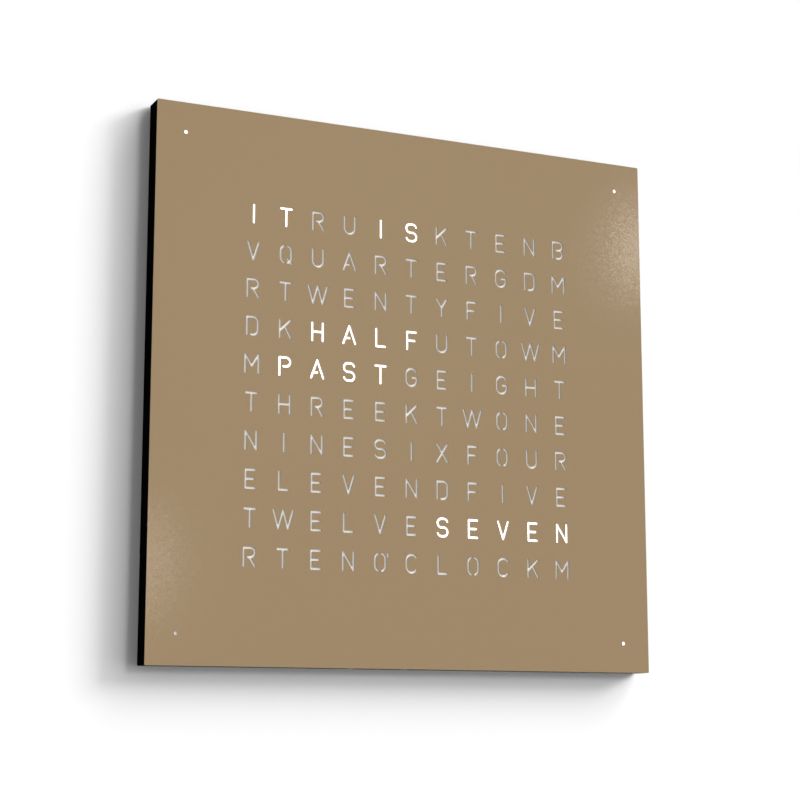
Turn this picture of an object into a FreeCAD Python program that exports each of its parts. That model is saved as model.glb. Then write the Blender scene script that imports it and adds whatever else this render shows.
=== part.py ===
import FreeCAD, Part
import math
import os

import Sketcher
from FreeCAD import Placement, Rotation, Vector

# A square wall clock that tells the time in words. A steel front plate with letter-shaped slots is held
# by magnets on a shallow black case. A light grid stands in the case, with one cell for each letter, and
# a board of LEDs closes the cells from behind. Every board, screw and lead inside is a piece of its own.
#
# +X is to the right as the clock is read, +Y goes into the wall and +Z is up. The origin is the centre of
# the clock on the face of the wall. All sizes are in millimetres.

SIZES = {
    # The border is what the plate adds on each side of the letter cells
    "border": 69.625,
    # Front plate: letter slots on a grid, and a small hole in each corner for the odd minutes
    "plate_thick": 1.5,
    "corner_round": 1,
    "column_pitch": 28.25,
    "row_pitch": 31,
    "letter_height": 16.3,
    "letter_width": 11,
    "slot_width": 1.8,
    "slot_bridge": 1.7,
    "minute_inset": 24.6,
    "minute_hole": 3,
    # Diffuser sheet and steel discs, both bonded to the back of the plate
    "diffuser_margin": 5.6,
    "diffuser_thick": 1,
    "strike_width": 10,
    "strike_thick": 1,
    # Case: an open tray with a large opening in its back
    "case_wall": 3.5,
    "case_back": 2.5,
    # Room from the case's inside to the LED board, and to the panel of the light grid
    "board_room": 1.9,
    "control_room": 11.5,
    "opening_slack": 6.725,
    "post_width": 7,
    # Light grid: a panel, cell walls behind it, a tube at each corner and a cup for each magnet
    "grid_gap": 0.3,
    "panel_thick": 1.7,
    "panel_slack": 0.6,
    "cell_wall": 1.6,
    "crossing_post": 5,
    "tube_width": 14,
    "tube_wall": 1.6,
    "magnet_width": 10,
    "magnet_thick": 3,
    "magnet_proud": 0.1,
    "magnet_slack": 0.1,
    "magnet_inset": 13,
    "magnet_spread": 75,
    "cup_wall": 1.5,
    "cup_floor": 1.8,
    "grid_screw_inset": 11,
    "grid_screw_spread": 150,
    # Boards and LEDs
    "board_thick": 1.6,
    "board_margin": 3.1,
    "led_width": 3.5,
    "led_height": 2.8,
    "led_deep": 1.9,
    "minute_board_width": 26,
    "minute_board_height": 14,
    "minute_screw_inset": 3,
    "chip_width": 9.7,
    "chip_height": 6.4,
    "chip_deep": 1.2,
    # Control board, with a notch that clears the plug recess
    "control_standoff": 3.8,
    "control_left": 120,
    "control_right": 60,
    "control_low_gap": 3.5,
    "control_lap": 2.1,
    "control_screw_inset": 5,
    "control_screw_drop": 26,
    "control_screw_rise": 16,
    "control_slack": 0.5,
    # Plug recess, power jack and cable slot
    "recess_width": 30,
    "jack_web": 5,
    "recess_wall": 1.2,
    "recess_floor_gap": 0.3,
    "jack_width": 9.4,
    "jack_deep": 9,
    "jack_length": 12,
    "jack_bore": 6.3,
    "jack_bore_deep": 9.5,
    "jack_pin": 2.1,
    "jack_opening": 8,
    "jack_back_gap": 0.1,
    "cable_slot_width": 8,
    "cable_slot_deep": 8,
    # Push buttons in the bottom wall
    "button_first": 112,
    "button_pitch": 12,
    "button_axis": 1.8,
    "button_width": 6,
    "button_slack": 0.2,
    "button_sunk": 0.8,
    "flange_width": 8,
    "flange_thick": 1,
    "stem_width": 3,
    "stem_length": 3.3,
    "plunger_width": 2.5,
    "plunger_length": 2,
    "plunger_slack": 0.1,
    "plunger_well": 3.2,
    "switch_width": 6,
    "switch_deep": 4,
    "switch_height": 5,
    "switch_inset": 1.2,
    # Light sensor behind its light pipe
    "pipe_place": 50,
    "pipe_width": 4,
    "pipe_slack": 0.05,
    "collar_width": 5.2,
    "collar_thick": 1,
    "sensor_width": 5,
    "sensor_deep": 3.4,
    "sensor_height": 4.3,
    "sensor_overhang": 0.3,
    # Coin cell and its holder
    "cell_width": 20,
    "cell_thick": 3.2,
    "holder_width": 23,
    "holder_base": 0.8,
    "holder_rim": 1.2,
    "holder_slack": 0.1,
    "holder_gap": 2,
    "holder_mouth": 14.14,
    # Ribbon cable between two sockets
    "ribbon_place": 95,
    "ribbon_width": 12,
    "ribbon_thick": 0.9,
    "socket_width": 15,
    "socket_height": 5,
    "socket_deep": 3,
    "socket_inset": 3.5,
    "control_socket_inset": 6.5,
    # Radio antenna
    "antenna_place": 110,
    "antenna_rise": 24.5,
    "ferrite_width": 8,
    "ferrite_length": 70,
    "coil_gap": 0.25,
    "coil_length": 25,
    "coil_slack": 0.05,
    "clip_width": 6,
    "clip_height": 13,
    "clip_deep": 8.5,
    "clip_mouth": 4.8,
    "clip_reach": 26,
    "lead_width": 1.2,
    "lead_drop": 6,
    "lead_start": 7,
    # Leads from the corner boards to the LED board
    "corner_lead_width": 1.4,
    "corner_lead_out": 4.4,
    "corner_lead_back": 5.4,
    "corner_lead_turn": 2,
    "corner_lead_land": 3,
    # Rear cover and the two keyhole plates that the clock hangs on
    "rear_thick": 1.5,
    "rear_lap": 11.9,
    "rear_screw_inset": 6,
    "rear_screw_spread": 57.3,
    "rear_post": 6.5,
    "rear_post_height": 2.5,
    "vent_width": 3,
    "vent_height": 30,
    "vent_pitch": 9,
    "vent_rise": 105,
    "hanger_reach": 130,
    "hanger_gap": 10,
    "hanger_width": 44,
    "hanger_height": 24,
    "hanger_below": 8,
    "hanger_screw_reach": 17.5,
    "keyhole_width": 9,
    "keyhole_slot": 4.4,
    "keyhole_length": 9,
    "hanger_pocket_width": 14,
    "hanger_pocket_height": 20,
    "hanger_pocket_below": 5.5,
    "hanger_pocket_deep": 7,
    # Screws: a flat head for the light grid, small flat heads behind, small pan heads for the boards
    "grid_screw": 3,
    "grid_screw_head": 5.6,
    "grid_screw_cone": 1.4,
    "grid_screw_length": 10,
    "small_screw": 2.5,
    "small_screw_head": 4.4,
    "small_screw_cone": 1.1,
    "small_screw_length": 4.5,
    "pan_head": 4.6,
    "pan_head_thick": 1.5,
    "pan_screw_length": 6,
    "screw_slack": 0.05,
    "screw_hole_slack": 0.2,
    "screw_hole_spare": 0.5,
    "recess_cross": 0.6,
    "recess_cross_deep": 0.6,
    # How far a shape that cuts reaches past what it cuts
    "past": 1,
}

# Parts on the front of the control board: left and low edge from the board's low left corner, then
# width, height and depth
COMPONENTS = {
    "microcontroller": (30, 28, 10, 10, 1.4),
    "quartz_crystal": (44, 30, 11.4, 4.7, 3.5),
    "voltage_regulator": (143, 41, 6.5, 6.1, 2.3),
    "receiver_module": (152, 8, 18, 14, 3.2),
}
CAPACITORS = {"capacitor_width": 6.3, "capacitor_deep": 5.4, "capacitor_rise": 32,
              "capacitor_first": 145, "capacitor_pitch": 8.5}

# The letters, row by row from the top. They hold the words that any English word clock needs.
LETTER_ROWS = ("ITRUISKTENB", "VQUARTERGDM", "RTWENTYFIVE", "DKHALFUTOWM", "MPASTGEIGHT",
               "THREEKTWONE", "NINESIXFOUR", "ELEVENDFIVE", "TWELVESEVEN", "RTENOCLOCKM")
# The O of the last row that carries an apostrophe: row and column, counted from 0
APOSTROPHE = (9, 4)
COLUMN_COUNT = len(LETTER_ROWS[0])
ROW_COUNT = len(LETTER_ROWS)

# Where planes and edges lie, worked out from the sizes. What ends in wide or high is half of that
# measure, from the middle of the clock.
PLACES = {
    "letters_wide": f"sizes.column_pitch * {COLUMN_COUNT} / 2",
    "letters_high": f"sizes.row_pitch * {ROW_COUNT} / 2",
    "grid_wide": "letters_wide + sizes.cell_wall / 2",
    "grid_high": "letters_high + sizes.cell_wall / 2",
    "led_board_wide": "grid_wide + sizes.board_margin",
    "led_board_high": "grid_high + sizes.board_margin",
    "case_back": "-sizes.rear_thick",
    "case_inside": "case_back - sizes.case_back",
    "board_back": "case_inside - sizes.board_room",
    "board_front": "board_back - sizes.board_thick",
    "panel_back": "case_inside - sizes.control_room",
    "panel_front": "panel_back - sizes.panel_thick",
    "diffuser_back": "panel_front - sizes.grid_gap",
    "plate_back": "diffuser_back - sizes.diffuser_thick",
    "plate_front": "plate_back - sizes.plate_thick",
    "grid_depth": "board_front - panel_front",
    "control_back": "case_inside - sizes.control_standoff",
    "control_front": "control_back - sizes.board_thick",
    "half_side": "max(letters_wide; letters_high) + sizes.border",
    "half_inside": "half_side - sizes.case_wall",
    "half_panel": "half_inside - sizes.panel_slack",
    "half_rear_opening": "max(led_board_wide; led_board_high) + sizes.opening_slack",
    "half_rear": "half_rear_opening + sizes.rear_lap",
    "hanger_rise": "half_rear + sizes.hanger_gap + sizes.hanger_below",
    "minute_reach": "half_side - sizes.minute_inset",
    "half_diffuser": "minute_reach + sizes.diffuser_margin",
    "magnet_reach": "half_side - sizes.magnet_inset",
    "magnet_front": "panel_front - sizes.magnet_proud",
    "magnet_back": "magnet_front + sizes.magnet_thick",
    "grid_screw_reach": "half_side - sizes.grid_screw_inset",
    "rear_screw_reach": "half_rear - sizes.rear_screw_inset",
    "control_low": "-half_inside + sizes.control_low_gap",
    "control_high": "-half_rear_opening + sizes.control_lap",
    "jack_high": "control_high - sizes.jack_web",
    "recess_high": "jack_high - sizes.jack_length",
    "recess_front": "panel_back + sizes.recess_floor_gap",
    "jack_back": "case_inside - sizes.jack_back_gap",
    "jack_front": "jack_back - sizes.jack_deep",
    "jack_axis": "(jack_back + jack_front) / 2",
    "jack_bore_end": "recess_high + sizes.jack_bore_deep",
    "button_line": "control_front - sizes.button_axis",
    "button_low": "-half_side + sizes.button_sunk",
    "flange_low": "-half_inside",
    "flange_high": "flange_low + sizes.flange_thick",
    "stem_high": "flange_high + sizes.stem_length",
    "plunger_high": "stem_high + sizes.plunger_length",
    "switch_low": "stem_high + sizes.switch_inset",
    "sensor_low": "control_low - sizes.sensor_overhang",
    "cell_front": "control_front - sizes.holder_base - sizes.cell_thick",
    "led_socket_low": "-led_board_high + sizes.socket_inset",
    "control_socket_high": "control_high - sizes.control_socket_inset",
    "antenna_low": "-half_inside + sizes.antenna_rise",
    "antenna_line": "(case_inside + panel_back) / 2",
    "coil_width": "sizes.control_room - 2 * sizes.coil_gap",
}

# How much of a screw head's width its cross takes, and how much of its shorter run a bend of a lead takes
CROSS_SHARE = 0.6
BEND_SHARE = 0.45

CORNERS = ((-1, 1), (1, 1), (1, -1), (-1, -1))
# Outward directions of the four sides
SIDES = ((0, 1), (1, 0), (0, -1), (-1, 0))
TURNED = {"x": Rotation(Vector(0, 1, 0), 90), "y": Rotation(Vector(1, 0, 0), 90), "z": Rotation()}

doc = FreeCAD.newDocument("word_clock")
nodes = []


# ---------------------------------------------------------------- sheets and helpers

def fill_sheet(name, cells):
    """Puts each value in a row of its own: the word for it in column A, the value in column B."""
    sheet = doc.addObject("Spreadsheet::Sheet", name)
    for row, (word, value) in enumerate(cells.items(), start=1):
        sheet.set(f"A{row}", word)
        sheet.set(f"B{row}", value)
        sheet.setAlias(f"B{row}", word)
    return sheet


driving = {word: str(value) for word, value in {**SIZES, **CAPACITORS}.items()}
for component, measures in COMPONENTS.items():
    for suffix, value in zip(("left", "low", "wide", "high", "deep"), measures):
        driving[f"{component}_{suffix}"] = str(value)
sizes = fill_sheet("sizes", driving)
places = fill_sheet("places", {word: f"={formula}" for word, formula in PLACES.items()})
doc.recompute()


def size(word):
    """The value of a word in either sheet."""
    return float(getattr(sizes if word in driving else places, word))


def bind(thing, formulas):
    """Ties properties to formulas, such as {"Height": "sizes.board_thick"}."""
    for name, formula in formulas.items():
        thing.setExpression(name, formula)
    return thing


def node(thing):
    """Marks an object as a piece that is written to a file under its label."""
    nodes.append(thing)
    return thing


def block(label, x, y, z):
    """A box between two planes along each axis."""
    box = doc.addObject("Part::Box", label)
    return bind(box, {"Length": f"({x[1]}) - ({x[0]})", "Width": f"({y[1]}) - ({y[0]})",
                      "Height": f"({z[1]}) - ({z[0]})", "Placement.Base.x": x[0],
                      "Placement.Base.y": y[0], "Placement.Base.z": z[0]})


def rod(label, radius, x, y, z):
    """A cylinder along the one axis that is given as two planes; the other two are its centre line."""
    centre = {"x": x, "y": y, "z": z}
    axis = next(name for name, place in centre.items() if isinstance(place, tuple))
    low, high = centre[axis]
    centre[axis] = high if axis == "y" else low
    cylinder = doc.addObject("Part::Cylinder", label)
    cylinder.Placement = Placement(Vector(), TURNED[axis])
    bind(cylinder, {"Radius": radius, "Height": f"({high}) - ({low})"})
    return bind(cylinder, {f"Placement.Base.{name}": place for name, place in centre.items()})


def cone(label, back_radius, front_radius, x, y, z):
    """A cone along Y between two planes, with its radius at the back and at the front."""
    taper = doc.addObject("Part::Cone", label)
    taper.Placement = Placement(Vector(), TURNED["y"])
    return bind(taper, {"Radius1": back_radius, "Radius2": front_radius,
                        "Height": f"({y[1]}) - ({y[0]})", "Placement.Base.x": x,
                        "Placement.Base.y": y[1], "Placement.Base.z": z})


def joined(label, *parts):
    """One solid made of parts that touch or overlap."""
    whole = doc.addObject("Part::MultiFuse", label)
    whole.Shapes = list(parts)
    whole.Refine = True
    return whole


def cut(label, base, *tools):
    """The base with the tools taken out of it."""
    remainder = doc.addObject("Part::Cut", label)
    remainder.Base = base
    remainder.Tool = tools[0] if len(tools) == 1 else joined(f"{label}_tools", *tools)
    remainder.Refine = True
    return remainder


def group(label, parts):
    """Separate solids in one node."""
    together = doc.addObject("Part::Compound", label)
    together.Links = list(parts)
    return together


def copies(label, seed, spots):
    """One copy of the seed, modelled on the Y axis, at each (x, z) spot."""
    links = []
    for number, (x, z) in enumerate(spots):
        link = doc.addObject("App::Link", f"{label}_{number}")
        link.LinkedObject = seed
        link.LinkTransform = True
        links.append(bind(link, {"Placement.Base.x": x, "Placement.Base.z": z}))
    return group(label, links)


def feature(label, shape):
    """A piece whose shape is worked out in code from the sheets."""
    thing = doc.addObject("Part::Feature", label)
    thing.Shape = shape
    return thing


def origin_part(body, role):
    """One of a body's own origin planes or axes."""
    return next(part for part in body.Origin.OriginFeatures if part.Role == role)


def upright_sketch(body, label, level):
    """An empty sketch on a plane parallel to the wall, at the Y of level."""
    sketch = body.newObject("Sketcher::SketchObject", label)
    sketch.AttachmentSupport = [(origin_part(body, "XZ_Plane"), "")]
    sketch.MapMode = "FlatFace"
    return bind(sketch, {"AttachmentOffset.Base.z": f"-({level})"})


def outline(sketch, corners):
    """A closed outline through corners, each an (across, up) pair of formulas."""
    spots = [Vector(sketch.evalExpression(across), sketch.evalExpression(up), 0) for across, up in corners]
    count = len(spots)
    edges = [sketch.addGeometry(Part.LineSegment(spots[i], spots[(i + 1) % count]), False)
             for i in range(count)]
    for i, (across, up) in enumerate(corners):
        sketch.addConstraint(Sketcher.Constraint("Coincident", edges[i - 1], 2, edges[i], 1))
        for kind, formula, start in (("DistanceX", across, spots[i].x), ("DistanceY", up, spots[i].y)):
            tie = sketch.addConstraint(Sketcher.Constraint(kind, -1, 1, edges[i], 1, start))
            sketch.setExpression(f"Constraints[{tie}]", formula)
    return sketch


def rectangle(sketch, x, z):
    """A rectangle between two places across and two up."""
    return outline(sketch, ((x[0], z[0]), (x[1], z[0]), (x[1], z[1]), (x[0], z[1])))


def square(sketch, half):
    """A square round the origin."""
    return rectangle(sketch, (f"-({half})", half), (f"-({half})", half))


def grow(body, sketch, length):
    """Pads a sketch towards -Y by length."""
    step = body.newObject("PartDesign::Pad", f"{sketch.Label}_pad")
    step.Profile = sketch
    return bind(step, {"Length": length})


def sink(body, sketch, length):
    """Cuts a pocket from the sketch towards +Y by length."""
    step = body.newObject("PartDesign::Pocket", f"{sketch.Label}_pocket")
    step.Profile = sketch
    return bind(step, {"Length": length})


def round_corners(body, radius):
    """Rounds the upright edges that a body's last step has so far, those along Y."""
    doc.recompute()
    step = body.Tip
    edges = [f"Edge{number}" for number, edge in enumerate(step.Shape.Edges, start=1)
             if abs(edge.tangentAt(edge.FirstParameter).y) > 0.9]
    corners = bind(body.newObject("PartDesign::Fillet", f"{body.Label}_corners"), {"Radius": radius})
    corners.Base = (step, edges)
    return corners


def route(points):
    """A path of straight runs joined by arcs that are as large as the runs allow."""
    edges = []
    start = points[0]
    for before, corner, after in zip(points, points[1:], points[2:]):
        inward, outward = before - corner, after - corner
        turn = math.pi - inward.getAngle(outward)
        back = BEND_SHARE * min(inward.Length, outward.Length)
        radius = back / math.tan(turn / 2)
        inward.normalize()
        outward.normalize()
        middle = inward + outward
        middle.normalize()
        reach = radius / math.cos(turn / 2) - radius
        arc_start, arc_end = corner + inward * back, corner + outward * back
        edges.append(Part.LineSegment(start, arc_start).toShape())
        edges.append(Part.Arc(arc_start, corner + middle * reach, arc_end).toShape())
        start = arc_end
    edges.append(Part.LineSegment(start, points[-1]).toShape())
    return Part.Wire(edges)


def swept(path, profile):
    """A closed profile carried along a path."""
    return path.makePipeShell([profile], True, False)


def round_lead(points, width):
    """A round wire along a route of points."""
    heading = points[1] - points[0]
    ring = Part.Wire(Part.Circle(points[0], heading, width / 2).toShape())
    return swept(route(points), ring)


def cross_recess(label, head, y):
    """The cross in a screw's head, which takes up a share of the head's width."""
    half = "sizes.recess_cross / 2"
    arm = f"{head} * {CROSS_SHARE} / 2"
    flat = block(f"{label}_flat", (f"-{arm}", arm), y, (f"-{half}", half))
    upright = block(f"{label}_upright", (f"-{half}", half), y, (f"-{arm}", arm))
    return flat, upright


def flat_screw(label, width, head, taper, length, face, towards):
    """A flat-headed screw on the Y axis, its head flush with face, its point towards +Y (1) or -Y (-1)."""
    inner = f"({face}) + ({towards}) * ({taper})"
    end = f"({face}) + ({towards}) * ({length})"
    floor = f"({face}) + ({towards}) * sizes.recess_cross_deep"
    if towards > 0:
        top = cone(f"{label}_head", f"{width} / 2", f"{head} / 2", "0", (face, inner), "0")
        shank = rod(f"{label}_shank", f"{width} / 2", "0", (inner, end), "0")
        cross = cross_recess(label, head, (face, floor))
    else:
        top = cone(f"{label}_head", f"{head} / 2", f"{width} / 2", "0", (inner, face), "0")
        shank = rod(f"{label}_shank", f"{width} / 2", "0", (end, inner), "0")
        cross = cross_recess(label, head, (floor, face))
    return cut(label, joined(f"{label}_solid", top, shank), *cross)


def pan_screw(label, face, towards):
    """A small pan-headed screw on the Y axis, its head seated on face."""
    crown = f"({face}) - ({towards}) * sizes.pan_head_thick"
    end = f"({face}) + ({towards}) * (sizes.pan_screw_length - sizes.pan_head_thick)"
    floor = f"({crown}) + ({towards}) * sizes.recess_cross_deep"
    low_high = (lambda a, b: (a, b)) if towards > 0 else (lambda a, b: (b, a))
    top = rod(f"{label}_head", "sizes.pan_head / 2", "0", low_high(crown, face), "0")
    shank = rod(f"{label}_shank", "sizes.small_screw / 2", "0", low_high(face, end), "0")
    cross = cross_recess(label, "sizes.pan_head", low_high(crown, floor))
    return cut(label, joined(f"{label}_solid", top, shank), *cross)


def square_spots(reach, spread):
    """Twelve spots on a square: its corners, and two on each side."""
    spots = [(f"{sx} * {reach}", f"{sz} * {reach}") for sx, sz in CORNERS]
    for out_x, out_z in SIDES:
        for along in (-1, 1):
            spots.append((f"{out_x} * {reach} + {abs(out_z) * along} * {spread}",
                          f"{out_z} * {reach} + {abs(out_x) * along} * {spread}"))
    return spots


def side_spots(reach, spread, steps):
    """Spots on the four sides, at steps of the spread from each side's middle."""
    return [(f"{out_x} * {reach} + {abs(out_z) * step} * {spread}",
             f"{out_z} * {reach} + {abs(out_x) * step} * {spread}")
            for out_x, out_z in SIDES for step in steps]


MINUTE_SPOTS = [(f"{sx} * places.minute_reach", f"{sz} * places.minute_reach") for sx, sz in CORNERS]
MAGNET_SPOTS = side_spots("places.magnet_reach", "sizes.magnet_spread", (-1, 1))
GRID_SCREW_SPOTS = side_spots("places.grid_screw_reach", "sizes.grid_screw_spread", (-1, 0, 1))
# The plug recess takes the middle of the low side, so no light grid screw goes there
del GRID_SCREW_SPOTS[SIDES.index((0, -1)) * 3 + 1]
REAR_SCREW_SPOTS = square_spots("places.rear_screw_reach", "sizes.rear_screw_spread")
# Crossings of cell walls that carry a screw of the LED board, counted in cells from the middle
CROSSING_SPOTS = [(f"{column} * sizes.column_pitch", f"{row} * sizes.row_pitch")
                  for column in (-4.5, -1.5, 1.5, 4.5) for row in (-3, 0, 3)]
MINUTE_SCREW_REACH = "(sizes.minute_board_width / 2 - sizes.minute_screw_inset)"
MINUTE_SCREW_SPOTS = [(f"{x} + ({side}) * {MINUTE_SCREW_REACH}", z)
                      for x, z in MINUTE_SPOTS for side in (-1, 1)]
CONTROL_SCREW_LEFT = "-sizes.control_left + sizes.control_screw_inset"
CONTROL_SCREW_RIGHT = "sizes.control_right - sizes.control_screw_inset"
CONTROL_SCREW_HIGH = "places.control_high - sizes.control_screw_inset"
CONTROL_SCREW_LOW = "places.control_low + sizes.control_screw_inset"
CONTROL_SCREW_SPOTS = [
    (CONTROL_SCREW_LEFT, CONTROL_SCREW_HIGH),
    (CONTROL_SCREW_LEFT, f"{CONTROL_SCREW_HIGH} - sizes.control_screw_drop"),
    (CONTROL_SCREW_RIGHT, f"{CONTROL_SCREW_LOW} + sizes.control_screw_rise"),
    (CONTROL_SCREW_RIGHT, CONTROL_SCREW_LOW),
]
HANGER_SCREW_SPOTS = [(f"{side} * sizes.hanger_reach + {end} * sizes.hanger_screw_reach",
                       "places.hanger_rise") for side in (-1, 1) for end in (-1, 1)]
BUTTON_NAMES = ("mode", "hour", "minute")
# Vent slots in the rear cover on each side of the middle one, in an upper and a lower row
VENTS_ASIDE = 5


# ---------------------------------------------------------------- the letters

def capsule(edge, width):
    """The face of a round-ended slot along one straight or round edge."""
    half = width / 2
    ends = (edge.FirstParameter, (edge.FirstParameter + edge.LastParameter) / 2, edge.LastParameter)
    spots = [edge.valueAt(place) for place in ends]
    headings = [edge.tangentAt(place) for place in ends]
    left = [spot + heading.cross(Vector(0, 1, 0)) * half for spot, heading in zip(spots, headings)]
    right = [spot - heading.cross(Vector(0, 1, 0)) * half for spot, heading in zip(spots, headings)]

    def bank(points):
        curved = isinstance(edge.Curve, Part.Circle)
        return (Part.Arc(*points) if curved else Part.LineSegment(points[0], points[2])).toShape()

    nose = Part.Arc(left[2], spots[2] + headings[2] * half, right[2]).toShape()
    tail = Part.Arc(right[0], spots[0] - headings[0] * half, left[0]).toShape()
    return Part.Face(Part.Wire([bank(left), nose, bank(right), tail]))


def lines(*points):
    """Straight strokes through (across, up) points."""
    spots = [Vector(across, 0, up) for across, up in points]
    return [Part.LineSegment(a, b).toShape() for a, b in zip(spots, spots[1:])]


def bow(across, up, radius, start, end):
    """A round stroke about a centre, from one angle to another in degrees."""
    spots = [Vector(across + radius * math.cos(math.radians(angle)), 0,
                    up + radius * math.sin(math.radians(angle)))
             for angle in (start, (start + end) / 2, end)]
    return [Part.Arc(*spots).toShape()]


def make_alphabet():
    """The centre lines of each letter. A closed letter is broken by bridges that hold its middle."""
    slot = size("slot_width")
    tall = (size("letter_height") - slot) / 2
    wide = (size("letter_width") - slot) / 2
    slim = wide * 0.86
    gap = size("slot_bridge") + slot
    # A stroke that meets the side of another starts a little inside it
    tuck = slot / 6
    drop = tall - wide
    bowl = tall / 2
    open_angle = math.degrees(math.asin(gap / 2 / wide))
    left_side = (bow(0, drop, wide, 90 + open_angle, 180) + lines((-wide, drop), (-wide, -drop))
                 + bow(0, -drop, wide, 180, 270 - open_angle))
    right_side = (bow(0, drop, wide, 90 - open_angle, 0) + lines((wide, drop), (wide, -drop))
                  + bow(0, -drop, wide, 0, -90 + open_angle))
    stem = lines((-wide, tall), (-wide, -tall))
    upper_bowl = (lines((-wide + tuck, tall), (wide - bowl, tall)) + bow(wide - bowl, bowl, bowl, 90, -90)
                  + lines((wide - bowl, 0), (-wide + gap, 0)))
    lower_bowl = (bow(wide - bowl, -bowl, bowl, 90, -90) + lines((wide - bowl, -tall), (-wide + gap, -tall)))
    leg, bar = wide * 1.15, -tall * 0.38
    bar_reach = leg * (tall - bar) / (2 * tall)
    peak = wide * 1.23
    step = wide * 0.9
    flat = wide - bowl
    turn = wide * 0.85
    return {
        "A": lines((-leg, -tall), (0, tall), (leg, -tall))
        + lines((-bar_reach + tuck, bar), (bar_reach - gap, bar)),
        "B": stem + upper_bowl + lower_bowl,
        "C": bow(0, drop, wide, 28, 180) + lines((-wide, drop), (-wide, -drop))
        + bow(0, -drop, wide, 180, 332),
        "D": stem + lines((-wide + tuck, tall), (wide - turn, tall))
        + bow(wide - turn, tall - turn, turn, 90, 0)
        + lines((wide, tall - turn), (wide, turn - tall)) + bow(wide - turn, turn - tall, turn, 0, -90)
        + lines((wide - turn, -tall), (-wide + gap, -tall)),
        "E": lines((slim, tall), (-slim, tall), (-slim, -tall), (slim, -tall))
        + lines((-slim + tuck, 0), (slim * 0.7, 0)),
        "F": lines((slim, tall), (-slim, tall), (-slim, -tall))
        + lines((-slim + tuck, 0), (slim * 0.7, 0)),
        "G": bow(0, drop, wide, 28, 180) + lines((-wide, drop), (-wide, -drop))
        + bow(0, -drop, wide, 180, 360)
        + lines((wide, -drop), (wide, -tuck), (wide * 0.2, -tuck)),
        "H": stem + lines((wide, tall), (wide, -tall)) + lines((-wide + tuck, 0), (wide - tuck, 0)),
        "I": lines((0, tall), (0, -tall)),
        "K": stem + lines((wide, tall), (-wide + tuck, -tall * 0.2))
        + lines((-tuck, bowl * 0.45), (wide, -tall)),
        "L": lines((-slim, tall), (-slim, -tall), (slim, -tall)),
        "M": lines((-peak, -tall), (-peak, tall), (0, -tall * 0.25), (peak, tall), (peak, -tall)),
        "N": lines((-wide, -tall), (-wide, tall), (wide, -tall), (wide, tall)),
        "O": left_side + right_side,
        "P": stem + upper_bowl,
        "Q": left_side + right_side
        + lines((wide * 0.3, -tall * 0.55), (wide * 1.05, -tall * 1.04)),
        "R": stem + upper_bowl + lines((tuck, -tuck), (wide, -tall)),
        "S": bow(flat, bowl, bowl, 20, 90) + lines((flat, tall), (-flat, tall))
        + bow(-flat, bowl, bowl, 90, 270)
        + lines((-flat, 0), (flat, 0)) + bow(flat, -bowl, bowl, 90, -90)
        + lines((flat, -tall), (-flat, -tall)) + bow(-flat, -bowl, bowl, -90, -160),
        "T": lines((-wide, tall), (wide, tall)) + lines((0, tall - tuck), (0, -tall)),
        "U": lines((-wide, tall), (-wide, -drop)) + bow(0, -drop, wide, 180, 360)
        + lines((wide, -drop), (wide, tall)),
        "V": lines((-wide, tall), (0, -tall), (wide, tall)),
        "W": lines((-2 * step, tall), (-step, -tall), (0, tall), (step, -tall), (2 * step, tall)),
        "X": lines((-wide, -tall), (wide, tall)) + lines((-wide, tall), (wide, -tall)),
        "Y": lines((-wide, tall), (0, 0), (wide, tall)) + lines((0, -tuck), (0, -tall)),
        "'": lines((wide + gap * 0.72, tall), (wide + gap * 0.6, tall * 0.66)),
    }


def letter_faces():
    """The flat outline of each letter, as one or more faces round the origin."""
    width = size("slot_width")
    outlines = {}
    for letter, strokes in make_alphabet().items():
        faces = [capsule(stroke, width) for stroke in strokes]
        outlines[letter] = faces[0].multiFuse(faces[1:]).removeSplitter() if len(faces) > 1 else faces[0]
    return outlines


def slot_faces():
    """The face of every slot of every letter, in the plane of the plate's front."""
    outlines = letter_faces()
    slots = []
    for row, word in enumerate(LETTER_ROWS):
        up = ((ROW_COUNT - 1) / 2 - row) * size("row_pitch")
        for column, letter in enumerate(word):
            place = Vector((column - (COLUMN_COUNT - 1) / 2) * size("column_pitch"), size("plate_front"), up)
            marks = letter + ("'" if (row, column) == APOSTROPHE else "")
            slots += [outlines[mark].translated(place) for mark in marks]
    return slots


# ---------------------------------------------------------------- front cover

def rounded_square(half, radius, level):
    """A square with round corners in a plane parallel to the wall."""
    flat, bend = half - radius, radius * math.sqrt(0.5)
    ends = [Vector(x, level, z) for x, z in ((-flat, half), (flat, half), (half, flat), (half, -flat),
                                             (flat, -half), (-flat, -half), (-half, -flat), (-half, flat))]
    middles = [Vector(side_x * (flat + bend), level, side_z * (flat + bend)) for side_x, side_z in
               ((1, 1), (1, -1), (-1, -1), (-1, 1))]
    edges = []
    for corner, middle in enumerate(middles):
        start, end, turned = ends[2 * corner], ends[2 * corner + 1], ends[(2 * corner + 2) % 8]
        edges += [Part.LineSegment(start, end).toShape(), Part.Arc(end, middle, turned).toShape()]
    return Part.Wire(edges)


def plate_blank():
    """The plate as laser-cut from one sheet: one face with its letter slots and minute holes."""
    level, reach = size("plate_front"), size("minute_reach")
    holes = [Part.Wire(Part.Circle(Vector(side_x * reach, level, side_z * reach), Vector(0, 1, 0),
                                   size("minute_hole") / 2).toShape()) for side_x, side_z in CORNERS]
    sheet_face = Part.Face(rounded_square(size("half_side"), size("corner_round"), level))
    return sheet_face.cut(slot_faces() + [Part.Face(hole) for hole in holes]).Faces[0]


plate_face = feature("plate_face", plate_blank())
front_plate = node(doc.addObject("Part::Extrusion", "front_plate"))
front_plate.Base = plate_face
front_plate.DirMode = "Custom"
front_plate.Dir = Vector(0, 1, 0)
front_plate.Solid = True
bind(front_plate, {"LengthFwd": "sizes.plate_thick"})

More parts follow.
